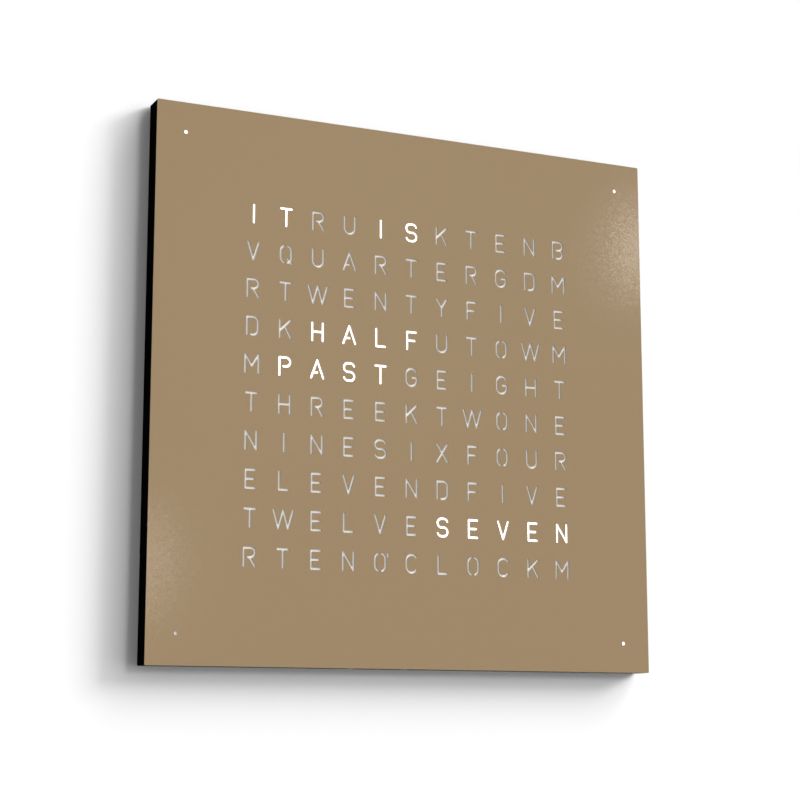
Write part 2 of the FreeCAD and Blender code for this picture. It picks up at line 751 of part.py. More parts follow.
diffuser_sheet = node(doc.addObject("PartDesign::Body", "diffuser_sheet"))
grow(diffuser_sheet, square(upright_sketch(diffuser_sheet, "diffuser_outline", "places.diffuser_back"),
                            "places.half_diffuser"), "sizes.diffuser_thick")

strike_disc = rod("strike_disc", "sizes.strike_width / 2", "0",
                  ("places.plate_back", "places.plate_back + sizes.strike_thick"), "0")
node(copies("strike_discs", strike_disc, MAGNET_SPOTS))


# ---------------------------------------------------------------- case

tray = doc.addObject("PartDesign::Body", "tray")
grow(tray, square(upright_sketch(tray, "tray_outline", "places.case_back"), "places.half_side"),
     "places.case_back - places.plate_back")
round_corners(tray, "sizes.corner_round")
sink(tray, square(upright_sketch(tray, "tray_inside", "places.plate_back"), "places.half_inside"),
     "places.case_inside - places.plate_back")
sink(tray, square(upright_sketch(tray, "tray_opening", "places.case_inside"), "places.half_rear_opening"),
     "sizes.case_back")


def posts(label, width, spots, front):
    """Round posts that stand on the inside of the case's back."""
    seed = rod(f"{label}_seed", f"{width} / 2", "0", (front, "places.case_inside"), "0")
    return copies(label, seed, spots)


def pilots(label, width, spots, low, high):
    """Holes that screws bite into."""
    seed = rod(f"{label}_seed", f"{width} / 2 + sizes.screw_slack", "0", (low, high), "0")
    return copies(label, seed, spots)


grid_screw_end = "places.panel_front + sizes.grid_screw_length + sizes.screw_hole_spare"
rear_post_front = "places.case_inside - sizes.rear_post_height"
rear_screw_end = "-sizes.small_screw_length - sizes.screw_hole_spare"
control_screw_end = ("places.control_front + sizes.pan_screw_length - sizes.pan_head_thick "
                     "+ sizes.screw_hole_spare")
recess_half = "sizes.recess_width / 2"
recess_inner = f"({recess_half} - sizes.recess_wall)"
pocket_low = "places.hanger_rise - sizes.hanger_pocket_below"
pocket_high = f"{pocket_low} + sizes.hanger_pocket_height"
pocket_front = "places.case_back - sizes.hanger_pocket_deep"


def hanger_boxes(label, spare, front, back):
    """The space that a hanging screw's head moves in, or the walls round it."""
    half = f"sizes.hanger_pocket_width / 2 + {spare}"
    return [block(f"{label}_{number}", (f"{side} * sizes.hanger_reach - ({half})",
                                        f"{side} * sizes.hanger_reach + {half}"), (front, back),
                  (f"{pocket_low} - {spare}", f"{pocket_high} + {spare}"))
            for number, side in enumerate((-1, 1))]


case_solid = joined(
    "case_solid", tray,
    posts("grid_posts", "sizes.post_width", GRID_SCREW_SPOTS, "places.panel_back"),
    posts("rear_posts", "sizes.rear_post", REAR_SCREW_SPOTS + HANGER_SCREW_SPOTS, rear_post_front),
    posts("control_posts", "sizes.rear_post", CONTROL_SCREW_SPOTS, "places.control_back"),
    block("recess_walls", (f"-{recess_half}", recess_half), ("places.recess_front", "places.case_inside"),
          ("-places.half_inside", "places.recess_high")),
    *hanger_boxes("hanger_walls", "sizes.recess_wall", f"{pocket_front} - sizes.recess_wall",
                  "places.case_inside"))


through_wall = ("-places.half_side - sizes.past", "-places.half_inside + sizes.past")


def bottom_bore(label, width, across):
    """A hole through the bottom wall on the line of the push buttons."""
    return rod(label, width, across, "places.button_line", through_wall)


def button_place(number):
    """Where a push button is, from left to right."""
    return f"-sizes.button_first + {number} * sizes.button_pitch"


case_shell = node(cut(
    "case_shell", case_solid,
    pilots("grid_pilots", "sizes.grid_screw", GRID_SCREW_SPOTS, "places.panel_back - sizes.past",
           grid_screw_end),
    pilots("rear_pilots", "sizes.small_screw", REAR_SCREW_SPOTS + HANGER_SCREW_SPOTS, rear_screw_end, "0"),
    pilots("control_pilots", "sizes.small_screw", CONTROL_SCREW_SPOTS, "places.control_back - sizes.past",
           control_screw_end),
    *hanger_boxes("hanger_space", "0", pocket_front, "0"),
    block("recess_space", (f"-{recess_inner}", recess_inner),
          ("places.recess_front + sizes.recess_wall", "0"),
          ("-places.half_inside", "places.recess_high - sizes.recess_wall")),
    block("cable_slot", ("-sizes.cable_slot_width / 2", "sizes.cable_slot_width / 2"),
          ("places.case_back - sizes.cable_slot_deep", "0"), through_wall),
    rod("jack_mouth", "sizes.jack_opening / 2", "0", "places.jack_axis",
        ("places.recess_high - 2 * sizes.recess_wall", "places.recess_high + sizes.past")),
    *[bottom_bore(f"{name}_button_bore", "sizes.button_width / 2 + sizes.button_slack", button_place(number))
      for number, name in enumerate(BUTTON_NAMES)],
    bottom_bore("pipe_bore", "sizes.pipe_width / 2 + sizes.pipe_slack", "-sizes.pipe_place")))

magnet = rod("magnet", "sizes.magnet_width / 2", "0", ("places.magnet_front", "places.magnet_back"), "0")
node(copies("case_magnets", magnet, MAGNET_SPOTS))


# ---------------------------------------------------------------- light grid

grid_body = doc.addObject("PartDesign::Body", "grid_body")
grow(grid_body, square(upright_sketch(grid_body, "panel_outline", "places.panel_back"), "places.half_panel"),
     "sizes.panel_thick")
grow(grid_body, rectangle(upright_sketch(grid_body, "grid_outline", "places.board_front"),
                          ("-places.grid_wide", "places.grid_wide"),
                          ("-places.grid_high", "places.grid_high")),
     "places.grid_depth")
first_cell = sink(
    grid_body,
    rectangle(upright_sketch(grid_body, "first_cell", "places.panel_front"),
              ("-places.letters_wide + sizes.cell_wall / 2",
               "-places.letters_wide + sizes.column_pitch - sizes.cell_wall / 2"),
              ("-places.letters_high + sizes.cell_wall / 2",
               "-places.letters_high + sizes.row_pitch - sizes.cell_wall / 2")),
    "places.grid_depth")
doc.recompute()
cells = grid_body.newObject("PartDesign::LinearPattern", "cells")
cells.Originals = [first_cell]
cells.Direction = (origin_part(grid_body, "X_Axis"), [""])
cells.Occurrences = COLUMN_COUNT
cells.Direction2 = (origin_part(grid_body, "Z_Axis"), [""])
cells.Occurrences2 = ROW_COUNT
bind(cells, {"Length": f"sizes.column_pitch * {COLUMN_COUNT - 1}",
             "Length2": f"sizes.row_pitch * {ROW_COUNT - 1}"})
grid_body.Tip = cells

behind_panel = ("places.panel_back - sizes.panel_thick / 2", "places.board_front")
tube_half = "sizes.tube_width / 2"
tube_block = block("tube_block", (f"-{tube_half}", tube_half), behind_panel, (f"-{tube_half}", tube_half))
tube_inner = f"({tube_half} - sizes.tube_wall)"
tube_bore = block("tube_bore", (f"-{tube_inner}", tube_inner),
                  ("places.panel_front - sizes.past", "places.board_front + sizes.past"),
                  (f"-{tube_inner}", tube_inner))
tube_post = rod("tube_post", "sizes.rear_post / 2", "0", behind_panel, "0")
crossing_post = rod("crossing_post", "sizes.crossing_post / 2", "0",
                    ("places.panel_front", "places.board_front"), "0")
magnet_cup = rod("magnet_cup", "sizes.magnet_width / 2 + sizes.cup_wall", "0",
                 ("places.panel_back - sizes.panel_thick / 2", "places.magnet_back + sizes.cup_floor"), "0")
magnet_bore = rod("magnet_bore", "sizes.magnet_width / 2 + sizes.magnet_slack", "0",
                  ("places.panel_front - sizes.past", "places.magnet_back"), "0")
screw_cone = cone("grid_screw_sink", "sizes.grid_screw / 2 + sizes.screw_slack",
                  "sizes.grid_screw_head / 2 + sizes.screw_slack", "0",
                  ("places.panel_front", "places.panel_front + sizes.grid_screw_cone"), "0")
screw_bore = rod("grid_screw_bore", "sizes.grid_screw / 2 + sizes.screw_slack", "0",
                 ("places.panel_front + sizes.grid_screw_cone", "places.panel_back + sizes.past"), "0")
board_screw_bore = rod("board_screw_bore", "sizes.small_screw / 2 + sizes.screw_slack", "0",
                       ("places.board_back - sizes.pan_screw_length", "places.board_front + sizes.past"), "0")
grid_solid = joined(
    "grid_solid", grid_body,
    copies("crossing_posts", crossing_post, CROSSING_SPOTS),
    copies("minute_tubes", tube_block, MINUTE_SPOTS),
    copies("minute_tube_posts", tube_post, MINUTE_SCREW_SPOTS),
    copies("magnet_cups", magnet_cup, MAGNET_SPOTS))
light_grid = node(cut(
    "light_grid", grid_solid,
    copies("minute_tube_bores", tube_bore, MINUTE_SPOTS),
    copies("magnet_bores", magnet_bore, MAGNET_SPOTS),
    copies("grid_screw_sinks", screw_cone, GRID_SCREW_SPOTS),
    copies("grid_screw_bores", screw_bore, GRID_SCREW_SPOTS),
    copies("board_screw_bores", board_screw_bore, CROSSING_SPOTS + MINUTE_SCREW_SPOTS)))

grid_screw = flat_screw("grid_screw", "sizes.grid_screw", "sizes.grid_screw_head", "sizes.grid_screw_cone",
                        "sizes.grid_screw_length", "places.panel_front", 1)
node(copies("light_grid_screws", grid_screw, GRID_SCREW_SPOTS))


# ---------------------------------------------------------------- LED board and corner boards

through_board = ("places.board_front - sizes.past", "places.board_back + sizes.past")
board_hole = rod("board_hole", "sizes.small_screw / 2 + sizes.screw_hole_slack", "0", through_board, "0")
board_blank = doc.addObject("PartDesign::Body", "board_blank")
grow(board_blank, rectangle(upright_sketch(board_blank, "board_outline", "places.board_back"),
                            ("-places.led_board_wide", "places.led_board_wide"),
                            ("-places.led_board_high", "places.led_board_high")), "sizes.board_thick")
node(cut("led_board", board_blank, copies("board_holes", board_hole, CROSSING_SPOTS)))

led = block("led", ("-sizes.led_width / 2", "sizes.led_width / 2"),
            ("places.board_front - sizes.led_deep", "places.board_front"),
            ("-sizes.led_height / 2", "sizes.led_height / 2"))
node(copies("letter_leds", led, [
    (f"{column - (COLUMN_COUNT - 1) / 2} * sizes.column_pitch",
     f"{(ROW_COUNT - 1) / 2 - row} * sizes.row_pitch")
    for row in range(ROW_COUNT) for column in range(COLUMN_COUNT)]))
board_screw = pan_screw("board_screw", "places.board_back", -1)
node(copies("led_board_screws", board_screw, CROSSING_SPOTS))

driver_chip = block("driver_chip", ("-sizes.chip_width / 2", "sizes.chip_width / 2"),
                    ("places.board_back", "places.board_back + sizes.chip_deep"),
                    ("-sizes.chip_height / 2", "sizes.chip_height / 2"))
node(copies("driver_chips", driver_chip, [(f"{column} * sizes.column_pitch", f"{row} * sizes.row_pitch")
                                          for column in (-3, 0, 3) for row in (-1.5, 1.5)]))

minute_plank = block("minute_plank", ("-sizes.minute_board_width / 2", "sizes.minute_board_width / 2"),
                     ("places.board_front", "places.board_back"),
                     ("-sizes.minute_board_height / 2", "sizes.minute_board_height / 2"))
minute_holes = [rod(f"minute_hole_{number}", "sizes.small_screw / 2 + sizes.screw_hole_slack",
                    f"{side} * {MINUTE_SCREW_REACH}", through_board, "0")
                for number, side in enumerate((-1, 1))]
minute_board = cut("minute_board", minute_plank, *minute_holes)
node(copies("minute_boards", minute_board, MINUTE_SPOTS))
node(copies("minute_leds", led, MINUTE_SPOTS))
node(copies("minute_board_screws", board_screw, MINUTE_SCREW_SPOTS))


def corner_lead(side_x, side_z):
    """The lead from one corner board, round the corner of the rear opening, to the LED board."""
    width = size("corner_lead_width")
    level = size("board_back") + width / 2
    out = size("minute_reach") - size("corner_lead_out")
    back = size("minute_reach") - size("corner_lead_back")
    turn = size("half_rear") + size("corner_lead_turn")
    land_x = size("led_board_wide") - size("corner_lead_land")
    land_z = size("led_board_high") - size("corner_lead_land")
    points = ((out, back), (out, turn), (land_x, turn), (land_x, land_z))
    return round_lead([Vector(side_x * across, level, side_z * up) for across, up in points], width)


node(feature("minute_leads", Part.makeCompound([corner_lead(*corner) for corner in CORNERS])))


# ---------------------------------------------------------------- control board

control_left, control_right = "-sizes.control_left", "sizes.control_right"
notch_half = f"({recess_half} + sizes.control_slack)"
notch_high = "places.recess_high + sizes.control_slack"
jack_half = "(sizes.jack_width / 2 + sizes.control_slack)"
jack_slot_high = "places.jack_high + sizes.control_slack"
control_blank = doc.addObject("PartDesign::Body", "control_blank")
grow(control_blank, outline(upright_sketch(control_blank, "control_outline", "places.control_back"), (
    (control_left, "places.control_low"), (f"-{notch_half}", "places.control_low"),
    (f"-{notch_half}", notch_high), (f"-{jack_half}", notch_high), (f"-{jack_half}", jack_slot_high),
    (jack_half, jack_slot_high), (jack_half, notch_high), (notch_half, notch_high),
    (notch_half, "places.control_low"), (control_right, "places.control_low"),
    (control_right, "places.control_high"), (control_left, "places.control_high"))), "sizes.board_thick")
control_hole = rod("control_hole", "sizes.small_screw / 2 + sizes.screw_hole_slack", "0",
                   ("places.control_front - sizes.past", "places.control_back + sizes.past"), "0")
node(cut("control_board", control_blank, copies("control_holes", control_hole, CONTROL_SCREW_SPOTS)))
control_screw = pan_screw("control_screw", "places.control_front", 1)
node(copies("control_board_screws", control_screw, CONTROL_SCREW_SPOTS))

for component in COMPONENTS:
    left = f"-sizes.control_left + sizes.{component}_left"
    low = f"places.control_low + sizes.{component}_low"
    node(block(component, (left, f"{left} + sizes.{component}_wide"),
               (f"places.control_front - sizes.{component}_deep", "places.control_front"),
               (low, f"{low} + sizes.{component}_high")))

node(group("capacitors", [
    rod(f"capacitor_{number}", "sizes.capacitor_width / 2",
        f"-sizes.control_left + sizes.capacitor_first + {number} * sizes.capacitor_pitch",
        ("places.control_front - sizes.capacitor_deep", "places.control_front"),
        "places.control_low + sizes.capacitor_rise") for number in range(2)]))

cell_across = "(-sizes.pipe_place)"
cell_up = "(places.sensor_low + sizes.sensor_height + sizes.holder_gap + sizes.holder_width / 2)"
holder_half = "sizes.holder_width / 2"
cell_well = "(sizes.cell_width / 2 + sizes.holder_slack)"
holder_block = block("holder_block", (f"{cell_across} - {holder_half}", f"{cell_across} + {holder_half}"),
                     ("places.cell_front - sizes.holder_rim", "places.control_front"),
                     (f"{cell_up} - {holder_half}", f"{cell_up} + {holder_half}"))
holder_well = rod("holder_well", cell_well, cell_across,
                  ("places.cell_front - sizes.holder_rim - sizes.past",
                   "places.control_front - sizes.holder_base"), cell_up)
# The rim is open above, where the cell slides out
holder_mouth = block("holder_mouth", (f"{cell_across} - sizes.holder_mouth / 2",
                                      f"{cell_across} + sizes.holder_mouth / 2"),
                     ("places.cell_front - sizes.holder_rim - sizes.past",
                      "places.control_front - sizes.holder_base - sizes.cell_thick / 2"),
                     (cell_up, f"{cell_up} + {holder_half} + sizes.past"))
node(cut("coin_cell_holder", holder_block, holder_well, holder_mouth))
node(rod("coin_cell", "sizes.cell_width / 2", cell_across,
         ("places.cell_front", "places.control_front - sizes.holder_base"), cell_up))

jack_block = block("jack_block", ("-sizes.jack_width / 2", "sizes.jack_width / 2"),
                   ("places.jack_front", "places.jack_back"), ("places.recess_high", "places.jack_high"))
jack_bore = rod("jack_bore", "sizes.jack_bore / 2", "0", "places.jack_axis",
                ("places.recess_high - sizes.past", "places.jack_bore_end"))
node(cut("power_jack", jack_block, jack_bore))
node(rod("power_jack_pin", "sizes.jack_pin / 2", "0", "places.jack_axis",
         ("places.recess_high + sizes.jack_pin / 4", "places.jack_bore_end")))


# ---------------------------------------------------------------- push buttons and light sensor

switches = []
for number, name in enumerate(BUTTON_NAMES):
    across = button_place(number)
    line = "places.button_line"
    cap = rod(f"{name}_cap", "sizes.button_width / 2", across, line,
              ("places.button_low", "places.flange_high"))
    flange = rod(f"{name}_flange", "sizes.flange_width / 2", across, line,
                 ("places.flange_low", "places.flange_high"))
    stem = rod(f"{name}_stem", "sizes.stem_width / 2", across, line,
               ("places.flange_high", "places.stem_high"))
    node(joined(f"{name}_button", cap, flange, stem))
    node(rod(f"{name}_plunger", "sizes.plunger_width / 2", across, line,
             ("places.stem_high", "places.plunger_high")))
    half = "sizes.switch_width / 2"
    housing = block(f"{name}_housing", (f"{across} - {half}", f"{across} + {half}"),
                    ("places.control_front - sizes.switch_deep", "places.control_front"),
                    ("places.switch_low", "places.switch_low + sizes.switch_height"))
    well = rod(f"{name}_well", "sizes.plunger_width / 2 + sizes.plunger_slack", across, line,
               ("places.switch_low - sizes.past", "places.switch_low + sizes.plunger_well"))
    switches.append(cut(f"{name}_switch", housing, well))
node(group("button_switches", switches))

pipe_across = "-sizes.pipe_place"
light_pipe = rod("light_pipe", "sizes.pipe_width / 2", pipe_across, "places.button_line",
                 ("-places.half_side", "places.sensor_low"))
pipe_collar = rod("pipe_collar", "sizes.collar_width / 2", pipe_across, "places.button_line",
                  ("-places.half_inside", "-places.half_inside + sizes.collar_thick"))
node(joined("sensor_light_pipe", light_pipe, pipe_collar))
sensor_half = "sizes.sensor_width / 2"
node(block("light_sensor", (f"{pipe_across} - {sensor_half}", f"{pipe_across} + {sensor_half}"),
           ("places.control_front - sizes.sensor_deep", "places.control_front"),
           ("places.sensor_low", "places.sensor_low + sizes.sensor_height")))


# ---------------------------------------------------------------- ribbon cable between the boards

socket_x = ("-sizes.ribbon_place - sizes.socket_width / 2", "-sizes.ribbon_place + sizes.socket_width / 2")
node(block("led_board_socket", socket_x, ("places.board_back", "places.board_back + sizes.socket_deep"),
           ("places.led_socket_low", "places.led_socket_low + sizes.socket_height")))
node(block("control_board_socket", socket_x,
           ("places.control_back", "places.control_back + sizes.socket_deep"),
           ("places.control_socket_high - sizes.socket_height", "places.control_socket_high")))


def ribbon_shape():
    """A flat cable that steps from the level of one socket to the level of the other."""
    across = -size("ribbon_place")
    upper = size("board_back") + size("socket_deep") / 2
    lower = size("control_back") + size("socket_deep") / 2
    top, end = size("led_socket_low"), size("control_socket_high")
    # It leaves each socket level, so that the step keeps clear of both boards' edges
    level_run = (top - end) * 0.3
    points = [Vector(across, upper, top), Vector(across, upper, top - level_run),
              Vector(across, lower, end + level_run), Vector(across, lower, end)]
    half, thick = size("ribbon_width") / 2, size("ribbon_thick") / 2
    corners = [points[0] + Vector(side * half, face * thick, 0)
               for side, face in ((-1, -1), (1, -1), (1, 1), (-1, 1))]
    return swept(route(points), Part.makePolygon(corners + corners[:1]))


node(feature("ribbon_cable", ribbon_shape()))


# ---------------------------------------------------------------- radio antenna

def along_antenna(half_length):
    """Two planes either side of the antenna's middle."""
    return f"sizes.antenna_place - ({half_length})", f"sizes.antenna_place + {half_length}"


line_y, line_z = "places.antenna_line", "places.antenna_low"
node(rod("antenna_rod", "sizes.ferrite_width / 2", along_antenna("sizes.ferrite_length / 2"), line_y, line_z))
winding = rod("winding", "places.coil_width / 2", along_antenna("sizes.coil_length / 2"), line_y, line_z)
winding_bore = rod("winding_bore", "sizes.ferrite_width / 2 + sizes.coil_slack",
                   along_antenna("sizes.coil_length"), line_y, line_z)
node(cut("antenna_coil", winding, winding_bore))

clips = []
for number, side in enumerate((-1, 1)):
    middle = f"(sizes.antenna_place + {side} * sizes.clip_reach)"
    span = (f"{middle} - sizes.clip_width / 2", f"{middle} + sizes.clip_width / 2")
    saddle = block(f"clip_block_{number}", span,
                   ("places.case_inside - sizes.clip_deep", "places.case_inside"),
                   (f"{line_z} - sizes.clip_height / 2", f"{line_z} + sizes.clip_height / 2"))
    seat = rod(f"clip_seat_{number}", "sizes.ferrite_width / 2 + sizes.coil_slack", span, line_y, line_z)
    mouth = block(f"clip_mouth_{number}", span,
                  ("places.case_inside - sizes.clip_deep - sizes.past", line_y),
                  (f"{line_z} - sizes.clip_mouth / 2", f"{line_z} + sizes.clip_mouth / 2"))
    clips.append(cut(f"antenna_clip_{number}", saddle, seat, mouth))
node(group("antenna_clips", clips))


def antenna_lead_shape():
    """The lead from the coil's low side to the edge of the receiver module."""
    width = size("lead_width")
    level = size("control_front") - width / 2
    across = size("antenna_place") - size("lead_start")
    coil_low = size("antenna_low") - size("coil_width") / 2
    lead_low = coil_low - size("lead_drop")
    module = -size("control_left") + size("receiver_module_left") + size("receiver_module_wide")
    points = ((across, coil_low), (across, lead_low), (module, lead_low))
    return round_lead([Vector(x, level, z) for x, z in points], width)


node(feature("antenna_lead", antenna_lead_shape()))


# ---------------------------------------------------------------- rear cover and hanging plates

def flat_head_hole(label):
    """A countersunk hole from the wall side, on the Y axis."""
    sunk = cone(f"{label}_sink", "sizes.small_screw_head / 2 + sizes.screw_slack",
                "sizes.small_screw / 2 + sizes.screw_slack", "0", ("-sizes.small_screw_cone", "0"), "0")
    straight = rod(f"{label}_straight", "sizes.small_screw / 2 + sizes.screw_slack", "0",
                   ("places.case_back - sizes.past", "-sizes.small_screw_cone"), "0")
    return joined(label, sunk, straight)


rear_blank = doc.addObject("PartDesign::Body", "rear_blank")
grow(rear_blank, square(upright_sketch(rear_blank, "rear_outline", "0"), "places.half_rear"),
     "sizes.rear_thick")
rear_hole = flat_head_hole("rear_hole")
through_plate = ("places.case_back - sizes.past", "sizes.past")
vent_half = "sizes.vent_width / 2"
vent_end = f"(sizes.vent_height / 2 - {vent_half})"
vent = joined(
    "vent",
    block("vent_middle", (f"-{vent_half}", vent_half), through_plate, (f"-{vent_end}", vent_end)),
    *[rod(f"vent_end_{number}", vent_half, "0", through_plate, f"{side} * {vent_end}")
      for number, side in enumerate((-1, 1))])
vents = copies("vents", vent, [(f"{place} * sizes.vent_pitch", f"{side} * sizes.vent_rise")
                               for side in (-1, 1) for place in range(-VENTS_ASIDE, VENTS_ASIDE + 1)])
node(cut("rear_cover", rear_blank, copies("rear_holes", rear_hole, REAR_SCREW_SPOTS), vents))
rear_screw = flat_screw("rear_screw", "sizes.small_screw", "sizes.small_screw_head", "sizes.small_screw_cone",
                        "sizes.small_screw_length", "0", -1)
node(copies("rear_cover_screws", rear_screw, REAR_SCREW_SPOTS))

hanger_low = "-sizes.hanger_below"
hanger_blank = block("hanger_blank", ("-sizes.hanger_width / 2", "sizes.hanger_width / 2"),
                     ("places.case_back", "0"), (hanger_low, f"{hanger_low} + sizes.hanger_height"))
keyhole = joined(
    "keyhole",
    rod("keyhole_entry", "sizes.keyhole_width / 2", "0", through_plate, "0"),
    block("keyhole_neck", ("-sizes.keyhole_slot / 2", "sizes.keyhole_slot / 2"), through_plate,
          ("0", "sizes.keyhole_length")),
    rod("keyhole_end", "sizes.keyhole_slot / 2", "0", through_plate, "sizes.keyhole_length"))
hanger_holes = copies("hanger_holes", rear_hole,
                      [(f"{end} * sizes.hanger_screw_reach", "0") for end in (-1, 1)])
hanger_plate = cut("hanger_plate", cut("hanger_keyhole_plate", hanger_blank, keyhole), hanger_holes)
node(copies("hanger_plates", hanger_plate, [(f"{side} * sizes.hanger_reach", "places.hanger_rise")
                                            for side in (-1, 1)]))
node(copies("hanger_plate_screws", rear_screw, HANGER_SCREW_SPOTS))


# ---------------------------------------------------------------- check and write

doc.recompute()
for thing in doc.Objects:
    if "Invalid" in thing.State or "Error" in thing.State:
        raise RuntimeError(f"{thing.Label} could not be built: {thing.State}")
os.makedirs("parts", exist_ok=True)
for piece in nodes:
    shape = piece.Shape
    if shape.isNull() or not shape.isValid() or not shape.Solids:
        raise RuntimeError(f"{piece.Label} has no valid solid")
    shape.exportStep(f"parts/{piece.Label}.step")
    box = shape.BoundBox
    print(f"{piece.Label:22s} {len(shape.Solids):4d} solids {shape.Volume:12.1f} mm3  "
          f"x {box.XMin:.1f} {box.XMax:.1f}  y {box.YMin:.2f} {box.YMax:.2f}  "
          f"z {box.ZMin:.1f} {box.ZMax:.1f}")
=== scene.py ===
import math

import bmesh
import bpy
import numpy as np
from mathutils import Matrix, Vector


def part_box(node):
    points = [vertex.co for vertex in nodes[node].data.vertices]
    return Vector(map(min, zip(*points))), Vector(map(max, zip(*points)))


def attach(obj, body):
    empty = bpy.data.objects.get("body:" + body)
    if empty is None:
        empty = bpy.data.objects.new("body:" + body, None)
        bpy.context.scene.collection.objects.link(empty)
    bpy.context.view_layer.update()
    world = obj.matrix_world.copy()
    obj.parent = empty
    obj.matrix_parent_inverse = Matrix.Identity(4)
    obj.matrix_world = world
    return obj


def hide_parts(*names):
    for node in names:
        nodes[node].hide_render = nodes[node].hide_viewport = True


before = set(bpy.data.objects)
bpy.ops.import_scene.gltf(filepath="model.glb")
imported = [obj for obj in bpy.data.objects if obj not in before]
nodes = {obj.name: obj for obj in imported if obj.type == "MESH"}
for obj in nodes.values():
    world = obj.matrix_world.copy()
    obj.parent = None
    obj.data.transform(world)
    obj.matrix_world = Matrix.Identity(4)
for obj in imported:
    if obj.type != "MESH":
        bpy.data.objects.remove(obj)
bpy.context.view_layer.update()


# ---------------------------------------------------------------- the view
# The clock hangs a little above the viewer's eye. It is seen from its left through a long lens, so that
# its left side shows and its edges nearly stay parallel. Places are in metres, from the clock's centre
# on the wall.

VIEW_FROM = Vector((-0.65837, -1.41208, -0.27605))
VIEW_AZIMUTH = math.radians(-24.949)
VIEW_RISE = math.radians(10.029)
LENS = 84.835
SENSOR_WIDTH = 36

camera = bpy.data.objects.new("camera", bpy.data.cameras.new("camera"))
camera.data.lens = LENS
camera.data.sensor_width = SENSOR_WIDTH
camera.location = VIEW_FROM
ahead = math.cos(VIEW_RISE)
gaze = Vector((-math.sin(VIEW_AZIMUTH) * ahead, math.cos(VIEW_AZIMUTH) * ahead, math.sin(VIEW_RISE)))
camera.rotation_euler = gaze.to_track_quat("-Z", "Y").to_euler()
bpy.context.scene.collection.objects.link(camera)
bpy.context.scene.camera = camera
bpy.context.scene.view_settings.view_transform = "Standard"


# ---------------------------------------------------------------- the wall
# A smooth wall in matt white emulsion paint, which takes the clock's shadow. It is clear from behind, and
# lets light through behind the clock, so that the clock's back can be seen and lit as well.

WALL_HALF = 1.6
WALL_GAP = 0.0004
WALL_WHITE = "#F7F7F7"
PLAIN_WHITE = "#FFFFFF"
# How far the light comes through behind the clock, and where the wall's shading ends in plain white
OPENING_HALF = 0.2235
SHADE_ENDS = (0.33, 0.42)


def linear(hex_colour):
    """A colour written as sRGB hex, as the linear RGBA that shaders take, by the sRGB curve."""
    shares = [int(hex_colour[place:place + 2], 16) / 255 for place in (1, 3, 5)]
    return [share / 12.92 if share <= 0.04045 else ((share + 0.055) / 1.055) ** 2.4
            for share in shares] + [1.0]


def add(tree, kind, inputs=None, **settings):
    """Adds a node. Each input takes a value, or a node or socket that is linked to it."""
    node = tree.nodes.new(f"ShaderNode{kind}")
    for name, value in settings.items():
        setattr(node, name, value)
    for name, value in (inputs or {}).items():
        if isinstance(value, bpy.types.Node):
            value = value.outputs[0]
        if isinstance(value, bpy.types.NodeSocket):
            tree.links.new(value, node.inputs[name])
        else:
            node.inputs[name].default_value = value
    return node


def new_material(name):
    """A material with an empty tree, and the tree."""
    material = bpy.data.materials.new(name)
    material.use_nodes = True
    material.node_tree.nodes.clear()
    return material, material.node_tree


wall_paint, tree = new_material("wall_emulsion")
spot = add(tree, "TexCoord").outputs["Object"]
off = add(tree, "SeparateXYZ", {0: add(tree, "VectorMath", {0: spot}, operation="ABSOLUTE")}).outputs
reach = add(tree, "Math", {0: off["X"], 1: off["Z"]}, operation="MAXIMUM")
rays = add(tree, "LightPath").outputs
behind_clock = add(tree, "Math", {0: reach, 1: OPENING_HALF}, operation="LESS_THAN")
open_to_light = add(tree, "Math", {0: behind_clock, 1: rays["Is Camera Ray"]}, operation="SUBTRACT")
from_behind = add(tree, "NewGeometry").outputs["Backfacing"]
clear = add(tree, "Math", {0: open_to_light, 1: from_behind}, operation="MAXIMUM")
seen = add(tree, "Math", {0: rays["Is Camera Ray"], 1: rays["Is Transmission Ray"]},
           operation="MAXIMUM")
plain = add(tree, "MapRange", {"Value": reach, "From Min": SHADE_ENDS[0], "From Max": SHADE_ENDS[1]},
            interpolation_type="SMOOTHSTEP")
plain = add(tree, "Math", {0: plain, 1: seen}, operation="MULTIPLY")
matt = add(tree, "BsdfDiffuse", {"Color": linear(WALL_WHITE)})
white = add(tree, "Emission", {"Color": linear(PLAIN_WHITE), "Strength": 1.0})
paint = add(tree, "MixShader", {0: plain, 1: matt, 2: white})
shown = add(tree, "MixShader", {0: clear, 1: paint, 2: add(tree, "BsdfTransparent")})
add(tree, "OutputMaterial", {0: shown})

corners = np.array([(-1, 0, -1), (1, 0, -1), (1, 0, 1), (-1, 0, 1)]) * WALL_HALF + (0, WALL_GAP, 0)
wall_mesh = bpy.data.meshes.new("wall")
wall_mesh.from_pydata(corners.tolist(), [], [(0, 1, 2, 3)])
wall_mesh.materials.append(wall_paint)
wall = bpy.data.objects.new("wall", wall_mesh)
bpy.context.scene.collection.objects.link(wall)
wall.visible_glossy = False


# ---------------------------------------------------------------- the light
# What is seen round the clock is white. What lights it from all round is weaker, and what its gloss
# mirrors is dark on the left, where the studio has no lamp.

ROUND_LIGHT = 0.273
# Where the mirrored studio turns from dark to white, as a direction's share along X
DARK_SIDE = (-0.05, 0.2)

